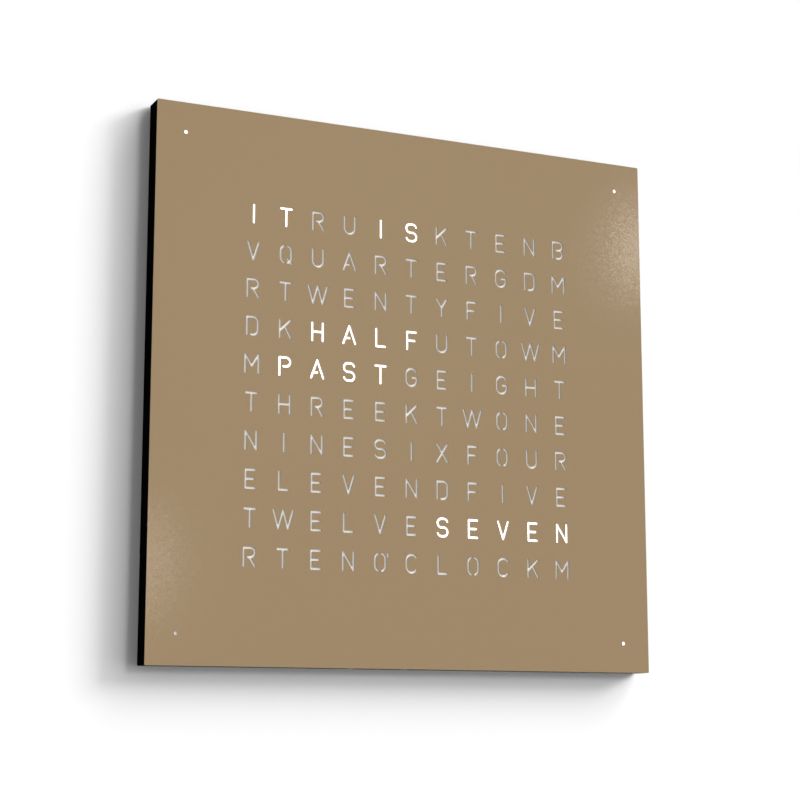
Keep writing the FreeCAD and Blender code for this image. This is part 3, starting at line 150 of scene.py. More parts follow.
world = bpy.data.worlds.new("studio")
world.use_nodes = True
tree = world.node_tree
tree.nodes.clear()
rays = add(tree, "LightPath").outputs
towards = add(tree, "SeparateXYZ", {0: add(tree, "TexCoord").outputs["Generated"]}).outputs["X"]
mirrored = add(tree, "MapRange", {"Value": towards, "From Min": DARK_SIDE[0], "From Max": DARK_SIDE[1]},
               interpolation_type="SMOOTHSTEP")
mirrored = add(tree, "Math", {0: mirrored, 1: rays["Is Glossy Ray"]}, operation="MULTIPLY")
seen = add(tree, "Math", {0: rays["Is Camera Ray"], 1: rays["Is Transmission Ray"]},
           operation="MAXIMUM")
dim = add(tree, "Math", {0: 1.0, 1: rays["Is Glossy Ray"]}, operation="SUBTRACT")
dim = add(tree, "Math", {0: dim, 1: ROUND_LIGHT}, operation="MULTIPLY")
strength = add(tree, "Math", {0: mirrored, 1: dim}, operation="ADD")
strength = add(tree, "Math", {0: strength, 1: seen}, operation="MAXIMUM")
background = add(tree, "Background", {"Color": linear(PLAIN_WHITE), "Strength": strength})
add(tree, "OutputWorld", {0: background})
bpy.context.scene.world = world

# Each far lamp: where it stands as seen from the clock, how wide it looks in degrees, how much of the
# plain level it gives to a surface that faces it, and whether it shows in a gloss
FAR_LAMPS = {
    "skylight": ((3.447, -1.0, 2.298), 97, 0.774, False),
    "window": ((1.952, -1.0, 0.98), 21, 0.739, False),
    "side_lamp": ((1.08, -1.0, -0.067), 30, 0.066, False),
    "high_lamp": ((1.765, -1.0, 2.521), 24, 0.37, False),
    "front_lamp": ((0.422, -1.0, 0.244), 12, 0.152, False),
    "back_lamp": ((0.35, 0.8, 0.5), 40, 0.9, True),
}
# Two strip lamps that the plate's right and left edges mirror: where on the plate, how high the strip is
# and its power in watts. Each stands where a mirror at that place would show it to the viewer.
STRIP_AWAY = 4.0
STRIP_WIDTH = 0.05
STRIP_COLOUR = (1.0, 0.95, 0.86)
STRIPS = {
    "right_strip": ((0.229, -0.02, 0.152), 0.24, 0.69),
    "left_strip": ((-0.229, -0.02, -0.148), 0.26, 0.42),
}
# Turns a direction from the plate to the viewer into the one that the plate mirrors to the viewer
PLATE_MIRROR = Vector((-1, 1, -1))


def new_lamp(name, kind, stands, energy):
    """A lamp that stands in some direction from the clock and shines back at it."""
    lamp = bpy.data.objects.new(name, bpy.data.lights.new(name, kind))
    lamp.data.energy = energy
    lamp.rotation_euler = stands.to_track_quat("Z", "Y").to_euler()
    bpy.context.scene.collection.objects.link(lamp)
    return lamp


for name, (stands, width, level, glossy) in FAR_LAMPS.items():
    lamp = new_lamp(name, "SUN", Vector(stands), level * math.pi)
    lamp.data.angle = math.radians(width)
    lamp.visible_glossy = glossy

for name, (mirrored_at, height, power) in STRIPS.items():
    away = (VIEW_FROM - Vector(mirrored_at)) * PLATE_MIRROR
    lamp = new_lamp(name, "AREA", away, power)
    lamp.data.shape = "RECTANGLE"
    lamp.data.size = STRIP_WIDTH
    lamp.data.size_y = height
    lamp.data.color = STRIP_COLOUR
    lamp.location = Vector(mirrored_at) + away.normalized() * STRIP_AWAY


# ---------------------------------------------------------------- front plate
# Steel sheet, 1.5 mm thick, in a satin tan powder coat with fine metal flakes, whose grain only shows
# where a lamp mirrors in it. The letters are cut by laser, so that their sides are bare steel with a warm
# tint from the heat; they are drawn paler than that, as painted light in the shade of the cuts. The outer
# edge is drawn near black, as dark as the case beside it.

MM = 0.001
# Half a size that goes past every piece, and the soft edge of a mask, in millimetres
ENDLESS = 1000
CRISP = 0.02
# The values of the noise that give a finish's dark tone and its light one
GRAIN_SPAN = (0.3, 0.7)
# The flakes are about 0.1 mm; they are drawn at about 1 mm, which is as coarse as they need to show
FLAKE = 0.95
FLAKE_TILT = 0.018
TAN_COAT = ("#907957", "#927A58")
CUT_STEEL_PAINTED_LIGHT = "#B6AFA4"
EDGE_BLACK = "#0B0B0B"
# A rim of the plate in which nothing is cut, and how little a side faces forward
RIM = 1
SIDE_FACING = 0.5


def per_metre(millimetres):
    """The scale of a pattern whose features are that wide."""
    return 1 / (millimetres * MM)


def socket_of(surface, word):
    """The input of a surface that a word names, such as roughness or specular_ior_level."""
    return surface.inputs[word.replace("_", " ").title().replace("Ior", "IOR")]


def textured(name, tones, grain, relief=0.0, **inputs):
    """A finish of two tones in noise, whose grain and relief are in millimetres.

    Gives the material, its tree, the spot on the piece that its patterns read, and its surface.
    """
    material, tree = new_material(name)
    spot = add(tree, "TexCoord").outputs["Object"]
    noise = add(tree, "TexNoise", {"Vector": spot, "Scale": per_metre(grain), "Detail": 2.0})
    share = add(tree, "MapRange", {"Value": noise, "From Min": GRAIN_SPAN[0], "From Max": GRAIN_SPAN[1]})
    dark, light = [linear(tone) for tone in tones]
    colour = add(tree, "Mix", {0: share, 6: dark, 7: light}, data_type="RGBA").outputs[2]
    surface = add(tree, "BsdfPrincipled", {"Base Color": colour})
    if relief:
        bump = add(tree, "Bump", {"Height": noise, "Strength": 1.0, "Distance": relief * MM})
        tree.links.new(bump.outputs[0], surface.inputs["Normal"])
    for word, value in inputs.items():
        socket_of(surface, word).default_value = value
    add(tree, "OutputMaterial", {0: surface})
    return material, tree, spot, surface


def put_on(material, *names):
    """Gives CAD nodes their finish."""
    for name in names:
        for place in nodes[name].material_slots:
            place.material = material


def extent(name):
    """The middle of a CAD node's box and half of its size, in millimetres."""
    low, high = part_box(name)
    return (low + high) / (2 * MM), (high - low) / (2 * MM)


def within(tree, spot, centre, half, edge=CRISP):
    """1 inside a box given in millimetres and 0 outside it, over an edge inside the box."""
    off = add(tree, "VectorMath", {0: spot, 1: [value * MM for value in centre]}, operation="SUBTRACT")
    off = add(tree, "VectorMath", {0: off}, operation="ABSOLUTE")
    inside = add(tree, "VectorMath", {0: [value * MM for value in half], 1: off}, operation="SUBTRACT")
    inside = add(tree, "SeparateXYZ", {0: inside}).outputs
    least = add(tree, "Math", {0: inside["X"], 1: inside["Z"]}, operation="MINIMUM")
    least = add(tree, "Math", {0: least, 1: inside["Y"]}, operation="MINIMUM")
    return add(tree, "MapRange", {"Value": least, "From Max": edge * MM},
               interpolation_type="SMOOTHSTEP")


def patch(tree, spot, centre, half, edge=CRISP):
    """1 inside a rectangle, across and up in millimetres, and 0 outside it, at any depth."""
    return within(tree, spot, (centre[0], 0, centre[1]), (half[0], ENDLESS, half[1]), edge)


def over(tree, surface, mask, **changes):
    """Lays another finish over part of a surface, where the mask is 1."""
    for word, value in changes.items():
        socket = socket_of(surface, word)
        under = socket.links[0].from_socket if socket.is_linked else socket.default_value
        if isinstance(value, list):
            mixed = add(tree, "Mix", {0: mask, 6: under, 7: value}, data_type="RGBA").outputs[2]
        else:
            mixed = add(tree, "Mix", {0: mask, 2: under, 3: value}).outputs[0]
        tree.links.new(mixed, socket)


powder_coat, tree, spot, surface = textured("satin_powder_coat", TAN_COAT, grain=FLAKE, roughness=0.108)
# Each flake leans its own way, by up to half the tilt along each axis
flakes = add(tree, "TexVoronoi", {"Vector": spot, "Scale": per_metre(FLAKE)}).outputs["Color"]
lean = add(tree, "VectorMath", {0: flakes, 1: [FLAKE_TILT] * 3, 2: [-FLAKE_TILT / 2] * 3},
           operation="MULTIPLY_ADD")
flat = add(tree, "NewGeometry").outputs["Normal"]
leaning = add(tree, "VectorMath", {0: flat, 1: lean}, operation="ADD")
leaning = add(tree, "VectorMath", {0: leaning}, operation="NORMALIZE")
tree.links.new(leaning.outputs[0], surface.inputs["Normal"])
# The cuts' sides and the outer edge face along the plate, and only the cuts lie within its rim
forward = add(tree, "SeparateXYZ", {0: add(tree, "TexCoord").outputs["Normal"]}).outputs["Y"]
forward = add(tree, "Math", {0: forward}, operation="ABSOLUTE")
side = add(tree, "Math", {0: forward, 1: SIDE_FACING}, operation="LESS_THAN")
inside_rim = patch(tree, spot, (0, 0), [extent("front_plate")[1].x - RIM] * 2)
cut_side = add(tree, "Math", {0: side, 1: inside_rim}, operation="MULTIPLY")
# The cuts' sides: bare steel, drawn paler as painted light that lifts the shade inside the cuts
over(tree, surface, cut_side, base_color=linear(CUT_STEEL_PAINTED_LIGHT), roughness=0.4)
outer_edge = add(tree, "Math", {0: side, 1: cut_side}, operation="SUBTRACT")
# The outer edge is drawn near black, as dark as the case's side next to it
over(tree, surface, outer_edge, base_color=linear(EDGE_BLACK), roughness=0.7)
put_on(powder_coat, "front_plate")


# ---------------------------------------------------------------- diffuser sheet
# Opal acrylic, 1 mm thick, bonded to the back of the plate. It hides the cells and spreads the light of
# the LEDs, so that a lit word is evenly white, and it looks pale grey where nothing is lit.

OPAL = ("#CDCBC9", "#D3D1CF")
COLUMN_COUNT = 11
COLUMN_PITCH = 28.25
ROW_COUNT = 10
ROW_PITCH = 31
MINUTE_REACH = 200.4
# Lit words of "it is half past seven": row, first column and last column, all counted from 0
LIT_WORDS = {"it": (0, 0, 1), "is": (0, 4, 5), "half": (3, 2, 5), "past": (4, 1, 4),
             "seven": (8, 6, 10)}
# Lit minutes: the corners' sides, to the right and up, and half the width of their glow
LIT_MINUTES = ((-1, 1), (1, 1), (1, -1))
MINUTE_GLOW = 6
# The glow of the lit cells, the painted light on the others (partly strayed light), and the edge between
# them
LIT_GLOW = 2.45
UNLIT_PAINTED_GLOW = 0.31
GLOW_EDGE = 2.5


def any_of(tree, masks):
    """1 where any of the masks is 1."""
    joined = 0.0
    for mask in masks:
        joined = add(tree, "Math", {0: mask, 1: joined}, operation="MAXIMUM")
    return joined


def lit(tree, spot, edge):
    """1 in front of the lit cells and 0 elsewhere."""
    cells = []
    for row, first, last in LIT_WORDS.values():
        across = ((first + last) / 2 - (COLUMN_COUNT - 1) / 2) * COLUMN_PITCH
        up = ((ROW_COUNT - 1) / 2 - row) * ROW_PITCH
        half_wide = (last - first + 1) / 2 * COLUMN_PITCH
        cells.append(patch(tree, spot, (across, up), (half_wide, ROW_PITCH / 2), edge))
    for side_x, side_z in LIT_MINUTES:
        centre = (side_x * MINUTE_REACH, side_z * MINUTE_REACH)
        cells.append(patch(tree, spot, centre, (MINUTE_GLOW, MINUTE_GLOW), edge))
    return any_of(tree, cells)


opal_acrylic, tree, spot, surface = textured("opal_acrylic", OPAL, grain=0.6, relief=0.003, roughness=0.4,
                                             ior=1.49, emission_color=linear(PLAIN_WHITE))
lit_cells = lit(tree, spot, GLOW_EDGE)
# The unlit cells glow a little: partly light strayed from the lit cells, partly painted light that lifts
# them in the shade of the cuts
glow = add(tree, "MapRange", {"Value": lit_cells, "To Min": UNLIT_PAINTED_GLOW, "To Max": LIT_GLOW})
tree.links.new(glow.outputs[0], surface.inputs["Emission Strength"])
put_on(opal_acrylic, "diffuser_sheet")


# ---------------------------------------------------------------- case
# A shallow tray moulded in black, with a fine even texture that mirrors very little. Its side is the
# darkest thing in view.

CASE_BLACK = ("#060606", "#0B0B0B")

case_black = textured("black_texture", CASE_BLACK, grain=0.8, relief=0.02, roughness=0.8,
                      specular_ior_level=0.1)[0]
put_on(case_black, "case_shell")


# ---------------------------------------------------------------- magnets and discs that hold the cover
# Eight nickel-plated magnets in cups of the light grid pull zinc-plated steel discs behind the plate.
# Nickel is warm and nearly smooth. Zinc is cooler, with the cloudy grain of a thin passivated coat.

NICKEL = ("#BDB8AC", "#CBC6BA")
ZINC = ("#A5AAB0", "#BEC2C6")

nickel_plate = textured("nickel_plate", NICKEL, grain=4.0, relief=0.004, metallic=1.0, roughness=0.2)[0]
put_on(nickel_plate, "case_magnets")
zinc_plate = textured("zinc_plate", ZINC, grain=1.6, relief=0.01, metallic=1.0, roughness=0.36)[0]
put_on(zinc_plate, "strike_discs")


# ---------------------------------------------------------------- light grid
# One moulding in white ABS, with a cell behind each letter. Its faces are satin, and the mould's ejector
# pins leave a smooth round mark, 3 mm wide, at each crossing of the walls.

WHITE_ABS = ("#D3D2CC", "#DAD9D4")
PIN_MARK = "#C9C8C1"
PIN_RADIUS = 1.5
# The soft edge of a round mark, in millimetres
ROUND_EDGE = 0.05


def repeated(tree, spot, pitch, middle=(0, 0)):
    """The spot as seen from the middle of its own cell, in cells of a pitch across and up."""
    moved = add(tree, "VectorMath", {0: spot, 1: (middle[0] * MM, 0, middle[1] * MM)},
                operation="SUBTRACT")
    high = [size / 2 * MM for size in (pitch[0], 2 * ENDLESS, pitch[1])]
    low = [-size for size in high]
    return add(tree, "VectorMath", {0: moved, 1: high, 2: low}, operation="WRAP").outputs[0]


def off_axis(tree, spot, centre=(0, 0)):
    """How far a spot is, in metres, from a line that goes straight back through a centre."""
    off = add(tree, "VectorMath", {0: spot, 1: (centre[0] * MM, 0, centre[1] * MM)},
              operation="SUBTRACT")
    off = add(tree, "VectorMath", {0: off, 1: (1, 0, 1)}, operation="MULTIPLY")
    return add(tree, "VectorMath", {0: off}, operation="LENGTH").outputs["Value"]


def disc(tree, spot, radius, edge=ROUND_EDGE):
    """1 nearer to a cell's middle than a radius in millimetres, and 0 further away."""
    span = {"From Min": radius * MM, "From Max": (radius - edge) * MM}
    return add(tree, "MapRange", {"Value": off_axis(tree, spot), **span})


white_abs, tree, spot, surface = textured("white_abs", WHITE_ABS, grain=0.6, relief=0.006, roughness=0.48,
                                          ior=1.53)
crossing = repeated(tree, spot, (COLUMN_PITCH, ROW_PITCH), (COLUMN_PITCH / 2, 0))
pin_mark = disc(tree, crossing, PIN_RADIUS, edge=0.2)
over(tree, surface, pin_mark, base_color=linear(PIN_MARK), roughness=0.3)
put_on(white_abs, "light_grid")


# ---------------------------------------------------------------- screws
# Steel screws with a cross recess. Those in sight or near the light are black oxide, matt and a little
# brown; those on the boards are bright zinc.

OXIDE = ("#2B2929", "#383535")

black_oxide = textured("black_oxide", OXIDE, grain=0.8, relief=0.01, metallic=1.0, roughness=0.42)[0]
put_on(black_oxide, "light_grid_screws", "rear_cover_screws", "hanger_plate_screws")
put_on(zinc_plate, "led_board_screws", "minute_board_screws", "control_board_screws")


# ---------------------------------------------------------------- circuit boards
# Glass-epoxy boards, 1.6 mm thick, with green solder resist over copper. Tracks show as paler lines, pads
# are tinned, and the edges are bare yellow-green laminate.

RESIST = ("#123D26", "#17492E")
OVER_COPPER = "#2B6B45"
TIN = "#C3C5C6"
LAMINATE = "#8E9A5B"
# Glass cloth under the resist; its real weave of 0.4 mm is drawn at 0.8 mm
WEAVE = 0.8
TRACK_EDGE = 0.08
# How far the resist reaches round the board's edge
RESIST_LAP = 0.05
# Cells of a pattern, each given as its pitch across and up and the middle of one cell
LETTER_CELLS = ((COLUMN_PITCH, ROW_PITCH), (0, ROW_PITCH / 2))
MINUTE_CELLS = ((2 * MINUTE_REACH, 2 * MINUTE_REACH), (MINUTE_REACH, MINUTE_REACH))
CONTROL_CELLS = ((13.1, 11.3), (0, -190))
# Tracks and pads in one cell, each a rectangle: its middle across and up, then half of its size
LETTER_TRACKS = ((0, 6, ENDLESS, 0.3), (0, -6, ENDLESS, 0.3), (6.5, 0, 0.25, ENDLESS),
                 (-2.4, 3, 0.25, 3), (2.4, -3, 0.25, 3))
LETTER_PADS = ((-1.75, 0, 0.75, 1.1), (1.75, 0, 0.75, 1.1), (6.5, 6, 0.6, 0.6))
MINUTE_TRACKS = ((0, -3.2, 9, 0.3), (-2.4, -1.6, 0.25, 1.6), (2.4, -1.6, 0.25, 1.6))
MINUTE_PADS = ((-1.75, 0, 0.75, 1.1), (1.75, 0, 0.75, 1.1), (-9, -3.2, 0.9, 0.9))
CONTROL_TRACKS = ((0, 1.5, ENDLESS, 0.22), (0, 2.6, ENDLESS, 0.22), (3.4, -2, 0.22, 3.4),
                  (4.5, -2, 0.22, 2.3))
CONTROL_PADS = ((-4.2, -2.6, 0.5, 0.4), (-4.2, -1.2, 0.5, 0.4), (-2.0, -2.6, 0.5, 0.4),
                (-2.0, -1.2, 0.5, 0.4), (1.2, -4.2, 0.45, 0.45))


def resist_on(board, name, cells, tracks, pads):
    """Gives a board its finish, with tracks and pads that repeat in cells."""
    material, tree, spot, surface = textured(name, RESIST, grain=WEAVE, relief=0.006, roughness=0.3,
                                             ior=1.5)
    place = repeated(tree, spot, *cells)
    for shapes, colour, metallic, roughness in ((tracks, OVER_COPPER, 0.0, 0.28), (pads, TIN, 1.0, 0.32)):
        mask = any_of(tree, [patch(tree, place, shape[:2], shape[2:], TRACK_EDGE) for shape in shapes])
        over(tree, surface, mask, base_color=linear(colour), metallic=metallic, roughness=roughness)
    middle, half = extent(board)
    depth = add(tree, "SeparateXYZ", {0: spot}).outputs["Y"]
    off = add(tree, "Math", {0: depth, 1: middle.y * MM}, operation="SUBTRACT")
    off = add(tree, "Math", {0: off}, operation="ABSOLUTE")
    edge = add(tree, "Math", {0: off, 1: (half.y - RESIST_LAP) * MM}, operation="LESS_THAN")
    over(tree, surface, edge, base_color=linear(LAMINATE), roughness=0.6)
    put_on(material, board)


resist_on("led_board", "led_board_resist", LETTER_CELLS, LETTER_TRACKS, LETTER_PADS)
resist_on("minute_boards", "minute_board_resist", MINUTE_CELLS, MINUTE_TRACKS, MINUTE_PADS)
resist_on("control_board", "control_board_resist", CONTROL_CELLS, CONTROL_TRACKS, CONTROL_PADS)


# ---------------------------------------------------------------- LEDs
# White plastic bodies with a round window of yellow phosphor. The lit ones glow white from the window,
# and the body round it glows a little.

LED_WHITE = ("#DEDBD0", "#E8E5DB")
PHOSPHOR = "#DCC978"
WINDOW_RADIUS = 1.15
# The glow of a lit window and of the body round it, and the edge of the cells whose LEDs are lit
WINDOW_GLOW = 9.0
BODY_GLOW = 0.6
LIT_EDGE = 0.1


def led_finish(name, cells):
    """LED bodies that repeat in cells, lit where the words are."""
    material, tree, spot, surface = textured(name, LED_WHITE, grain=0.5, relief=0.003, roughness=0.4,
                                             emission_color=linear(PLAIN_WHITE))
    window = disc(tree, repeated(tree, spot, *cells), WINDOW_RADIUS)
    over(tree, surface, window, base_color=linear(PHOSPHOR), roughness=0.25)
    power = add(tree, "MapRange", {"Value": window, "To Min": BODY_GLOW, "To Max": WINDOW_GLOW})
    power = add(tree, "Math", {0: power, 1: lit(tree, spot, LIT_EDGE)}, operation="MULTIPLY")
    tree.links.new(power.outputs[0], surface.inputs["Emission Strength"])
    return material


put_on(led_finish("letter_led", LETTER_CELLS), "letter_leds")
put_on(led_finish("minute_led", MINUTE_CELLS), "minute_leds")


# ---------------------------------------------------------------- chips
# Black epoxy packages with a fine matt moulding grain and a smooth dimple at the first leg. Their tinned
# legs stand round the foot of each body, next to the board.

EPOXY = ("#1A1B1C", "#242526")
DIMPLE_BLACK = "#0E0F0F"
# The dimple: half its width, how far its middle is in from the sides, and its soft edge
DIMPLE_HALF = 0.45
DIMPLE_INSET = 1.1
DIMPLE_EDGE = 0.3
# How far the row of legs stays from the corners, and the legs from the board
LEG_INSET = 0.3
LEG_GAP = 0.01
LEG_EDGE = 0.03


def along(axis, size):
    """A size across and up: the given one along an axis, and no end along the other."""
    return (size, ENDLESS) if axis == "X" else (ENDLESS, size)


def chip_finish(name, cells, half, foot, leg_pitch, leg_rows):
    """Packages in cells, from half of their size, the depths that the legs take, and the legs' pitch.

    The rows name the axes along which legs stand in a row, such as "X" for the upper and lower sides.
    """
    material, tree, spot, surface = textured(name, EPOXY, grain=0.35, relief=0.006, roughness=0.55,
                                             specular_ior_level=0.35)
    place = repeated(tree, spot, *cells)
    corner = (DIMPLE_INSET - half[0], half[1] - DIMPLE_INSET)
    dimple = patch(tree, place, corner, (DIMPLE_HALF, DIMPLE_HALF), DIMPLE_EDGE)
    over(tree, surface, dimple, base_color=linear(DIMPLE_BLACK), roughness=0.2)
    depth = add(tree, "SeparateXYZ", {0: spot}).outputs["Y"]
    behind = add(tree, "Math", {0: depth, 1: foot[0] * MM}, operation="GREATER_THAN")
    before = add(tree, "Math", {0: depth, 1: foot[1] * MM}, operation="LESS_THAN")
    at_foot = add(tree, "Math", {0: behind, 1: before}, operation="MULTIPLY")
    rows = []
    for axis in leg_rows:
        step = repeated(tree, place, along(axis, leg_pitch))
        leg = patch(tree, step, (0, 0), along(axis, leg_pitch / 4), LEG_EDGE)
        row = patch(tree, place, (0, 0), along(axis, half["XZ".index(axis)] - LEG_INSET))
        rows.append(add(tree, "Math", {0: leg, 1: row}, operation="MULTIPLY"))
    legs = add(tree, "Math", {0: any_of(tree, rows), 1: at_foot}, operation="MULTIPLY")
    over(tree, surface, legs, base_color=linear(TIN), metallic=1.0, roughness=0.3)
    return material


def epoxy_on(chip, name, leg_height, leg_pitch, leg_rows):
    """Gives its finish to a package that stands alone on the front of the control board."""
    middle, half = extent(chip)
    board_front = middle.y + half.y
    cells = ((ENDLESS, ENDLESS), (middle.x, middle.z))
    foot = (board_front - leg_height, board_front - LEG_GAP)
    put_on(chip_finish(name, cells, (half.x, half.z), foot, leg_pitch, leg_rows), chip)


# The drivers stand on the back of the LED board, in three columns and two rows, three letters apart
DRIVER_PITCH = (3 * COLUMN_PITCH, 3 * ROW_PITCH)
DRIVER_LEG = 0.45

middle, half = extent("driver_chips")
# What their box holds past the middle of the outer drivers is half a driver
driver_half = (half.x - DRIVER_PITCH[0], half.z - DRIVER_PITCH[1] / 2)
board_back = middle.y - half.y
driver_epoxy = chip_finish("driver_epoxy", (DRIVER_PITCH, (0, DRIVER_PITCH[1] / 2)), driver_half,
                           (board_back + LEG_GAP, board_back + DRIVER_LEG), leg_pitch=0.8, leg_rows="X")
put_on(driver_epoxy, "driver_chips")
epoxy_on("microcontroller", "microcontroller_epoxy", leg_height=0.45, leg_pitch=0.8, leg_rows="XZ")
epoxy_on("voltage_regulator", "regulator_epoxy", leg_height=0.7, leg_pitch=2.3, leg_rows="X")
epoxy_on("light_sensor", "sensor_epoxy", leg_height=0.4, leg_pitch=2.5, leg_rows="Z")


# ---------------------------------------------------------------- other parts on the control board
# A crystal in a drawn nickel can, a radio receiver under a tinned shield, two aluminium capacitors on
# black bases, a coin cell with turned faces, and moulded black parts: its holder, the jack, the switches.

BASE_HEIGHT = 1.0
BASE_EDGE = 0.01


def base_of(tree, spot, name):
    """1 in the base of a piece that stands on the front of the control board, and 0 above it."""
    middle, half = extent(name)
    centre = (0, middle.y + half.y - BASE_HEIGHT / 2, 0)
    return within(tree, spot, centre, (ENDLESS, BASE_HEIGHT / 2, ENDLESS), BASE_EDGE)


# Drawn nickel, nearly smooth and a little warm
CRYSTAL_CAN = ("#B9B6AE", "#C6C3BB")
crystal_can = textured("crystal_can", CRYSTAL_CAN, grain=2.0, relief=0.004, metallic=1.0,
                       roughness=0.24)[0]
put_on(crystal_can, "quartz_crystal")

# A shield of tinned steel, half bright, with small holes in its middle drawn as dark spots of painted
# shade, on a green board of its own
SHIELD = ("#B4B6B8", "#C2C4C5")
SHIELD_HOLE_SHADE = "#1A1B1B"
HOLE_PITCH = 3.0
HOLE_RADIUS = 0.5
HOLES_HALF = (6, 4.4)
receiver, tree, spot, surface = textured("receiver_shield", SHIELD, grain=1.2, relief=0.01, metallic=1.0,
                                         roughness=0.33)
over(tree, surface, base_of(tree, spot, "receiver_module"), base_color=linear(RESIST[0]), metallic=0.0,
     roughness=0.35)
middle = extent("receiver_module")[0].xz
hole = disc(tree, repeated(tree, spot, (HOLE_PITCH, HOLE_PITCH), middle), HOLE_RADIUS)
holes = patch(tree, spot, middle, HOLES_HALF, BASE_EDGE)
hole = add(tree, "Math", {0: hole, 1: holes}, operation="MULTIPLY")
# The holes are painted dark: painted shade inside them
over(tree, surface, hole, base_color=linear(SHIELD_HOLE_SHADE), metallic=0.0, roughness=0.6)
put_on(receiver, "receiver_module")

# Drawn aluminium cans, pale and nearly smooth, each with a black mark at the left of its top
CAPACITOR_CAN = ("#C2C4C6", "#CFD1D2")
CAPACITOR_BASE = "#18191A"
MARK_BLACK = "#1B1C1D"
CAN_PITCH = 8.5
# The mark: its middle from the can's, half its width, and how far it goes down the side
MARK_PLACE = -3.05
MARK_HALF = 1.6
MARK_DEEP = 0.2
capacitor, tree, spot, surface = textured("capacitor_can", CAPACITOR_CAN, grain=3.0, relief=0.006,
                                          metallic=1.0, roughness=0.26)
over(tree, surface, base_of(tree, spot, "capacitors"), base_color=linear(CAPACITOR_BASE), metallic=0.0,
     roughness=0.5)
middle, half = extent("capacitors")
can = repeated(tree, spot, (CAN_PITCH, ENDLESS), (middle.x - CAN_PITCH / 2, 0))
mark = within(tree, can, (MARK_PLACE, middle.y - half.y - MARK_DEEP, 0),
              (MARK_HALF, 2 * MARK_DEEP, ENDLESS))
over(tree, surface, mark, base_color=linear(MARK_BLACK), metallic=0.0, roughness=0.5)
put_on(capacitor, "capacitors")

# PBT moulded in black, half matt with a faint grain
BLACK_PBT = ("#151617", "#1C1D1E")
black_pbt = textured("black_pbt", BLACK_PBT, grain=0.45, relief=0.008, roughness=0.5,
                     specular_ior_level=0.4)[0]
put_on(black_pbt, "coin_cell_holder", "power_jack", "mode_plunger", "hour_plunger", "minute_plunger")
put_on(nickel_plate, "power_jack_pin")

# Nickel-plated steel with turned rings, which spread its shine. They are drawn 0.5 mm apart, far coarser
# than real ones.
COIN_STEEL = ("#BFC0C0", "#CBCCCC")
RING_PITCH = 0.5
RING_RELIEF = 0.004
coin_steel, tree, spot, surface = textured("coin_cell_steel", COIN_STEEL, grain=3.0, metallic=1.0,
                                           roughness=0.25)
from_middle = off_axis(tree, spot, extent("coin_cell")[0].xz)
rings = add(tree, "Math", {0: from_middle, 1: 2 * math.pi * per_metre(RING_PITCH)}, operation="MULTIPLY")
rings = add(tree, "Math", {0: rings}, operation="SINE")
rings = add(tree, "Bump", {"Height": rings, "Strength": 1.0, "Distance": RING_RELIEF * MM})
tree.links.new(rings.outputs[0], surface.inputs["Normal"])
put_on(coin_steel, "coin_cell")

# Black switch bodies, half matt, with a bright tin plate at the side that faces the buttons
PLATE_HEIGHT = 0.6
switch_body, tree, spot, surface = textured("switch_body", EPOXY, grain=0.4, relief=0.006, roughness=0.5)
middle, half = extent("button_switches")
tin_plate = patch(tree, spot, (middle.x, middle.z - half.z), (ENDLESS, PLATE_HEIGHT), BASE_EDGE)
over(tree, surface, tin_plate, base_color=linear(TIN), metallic=1.0, roughness=0.3)
put_on(switch_body, "button_switches")


# ---------------------------------------------------------------- buttons and light pipe
# Three black caps stand in the case's low side, moulded with a dished face and a rounded rim, and satin
# from handling. Next to them is the end of a clear acrylic rod that leads the room's light to the sensor.

BUTTON_BLACK = ("#0D0D0E", "#131314")
CLEAR_ACRYLIC = ("#F2F8FA", "#F7FBFC")
CAP_RADIUS = 3.0
CAP_RIM = 0.5
CAP_DISH = 0.35
# The flange that keeps the cap in its bore: its radius, and where it lies above the cap's face
FLANGE_RADIUS = 4.0
FLANGE_SPAN = (2.7, 3.7)
STEM_RADIUS = 1.5
# Points across the face, round the rim and round the cap
FACE_POINTS = 9
RIM_POINTS = 7
CAP_COLUMNS = 64
# Points nearer than this, in millimetres, become one, and an edge that turns more than this is sharp
MERGE_WITHIN = 0.001
SHARP_EDGE = math.radians(35)


def surface_piece(name, grid, material, node, body="root"):
    """A piece that stands for a CAD node, from a grid of points in millimetres: rows by columns by 3.

    Each row is a loop that joins the next row. Points that fall together, at a pole or a seam, become
    one.
    """
    rows, columns = grid.shape[:2]
    corner = np.arange(rows * columns).reshape(rows, columns)
    beside = np.roll(corner, -1, axis=1)
    quads = np.stack([corner[:-1], beside[:-1], beside[1:], corner[1:]], axis=-1).reshape(-1, 4)
    mesh = bpy.data.meshes.new(name)
    mesh.from_pydata((grid.reshape(-1, 3) * MM).tolist(), [], quads.tolist())
    shape = bmesh.new()
    shape.from_mesh(mesh)
    bmesh.ops.remove_doubles(shape, verts=shape.verts, dist=MERGE_WITHIN * MM)
    bmesh.ops.recalc_face_normals(shape, faces=shape.faces)
    shape.to_mesh(mesh)
    shape.free()
    mesh.shade_smooth()
    mesh.set_sharp_from_angle(angle=SHARP_EDGE)
    mesh.materials.append(material)
    piece = bpy.data.objects.new(name, mesh)
    bpy.context.scene.collection.objects.link(piece)
    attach(piece, body)
    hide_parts(node)


def full_turn(columns):
    """Angles of the columns of a turned grid, shaped to stand beside a column of radii."""
    return np.linspace(0, 2 * np.pi, columns, endpoint=False)[None, :]


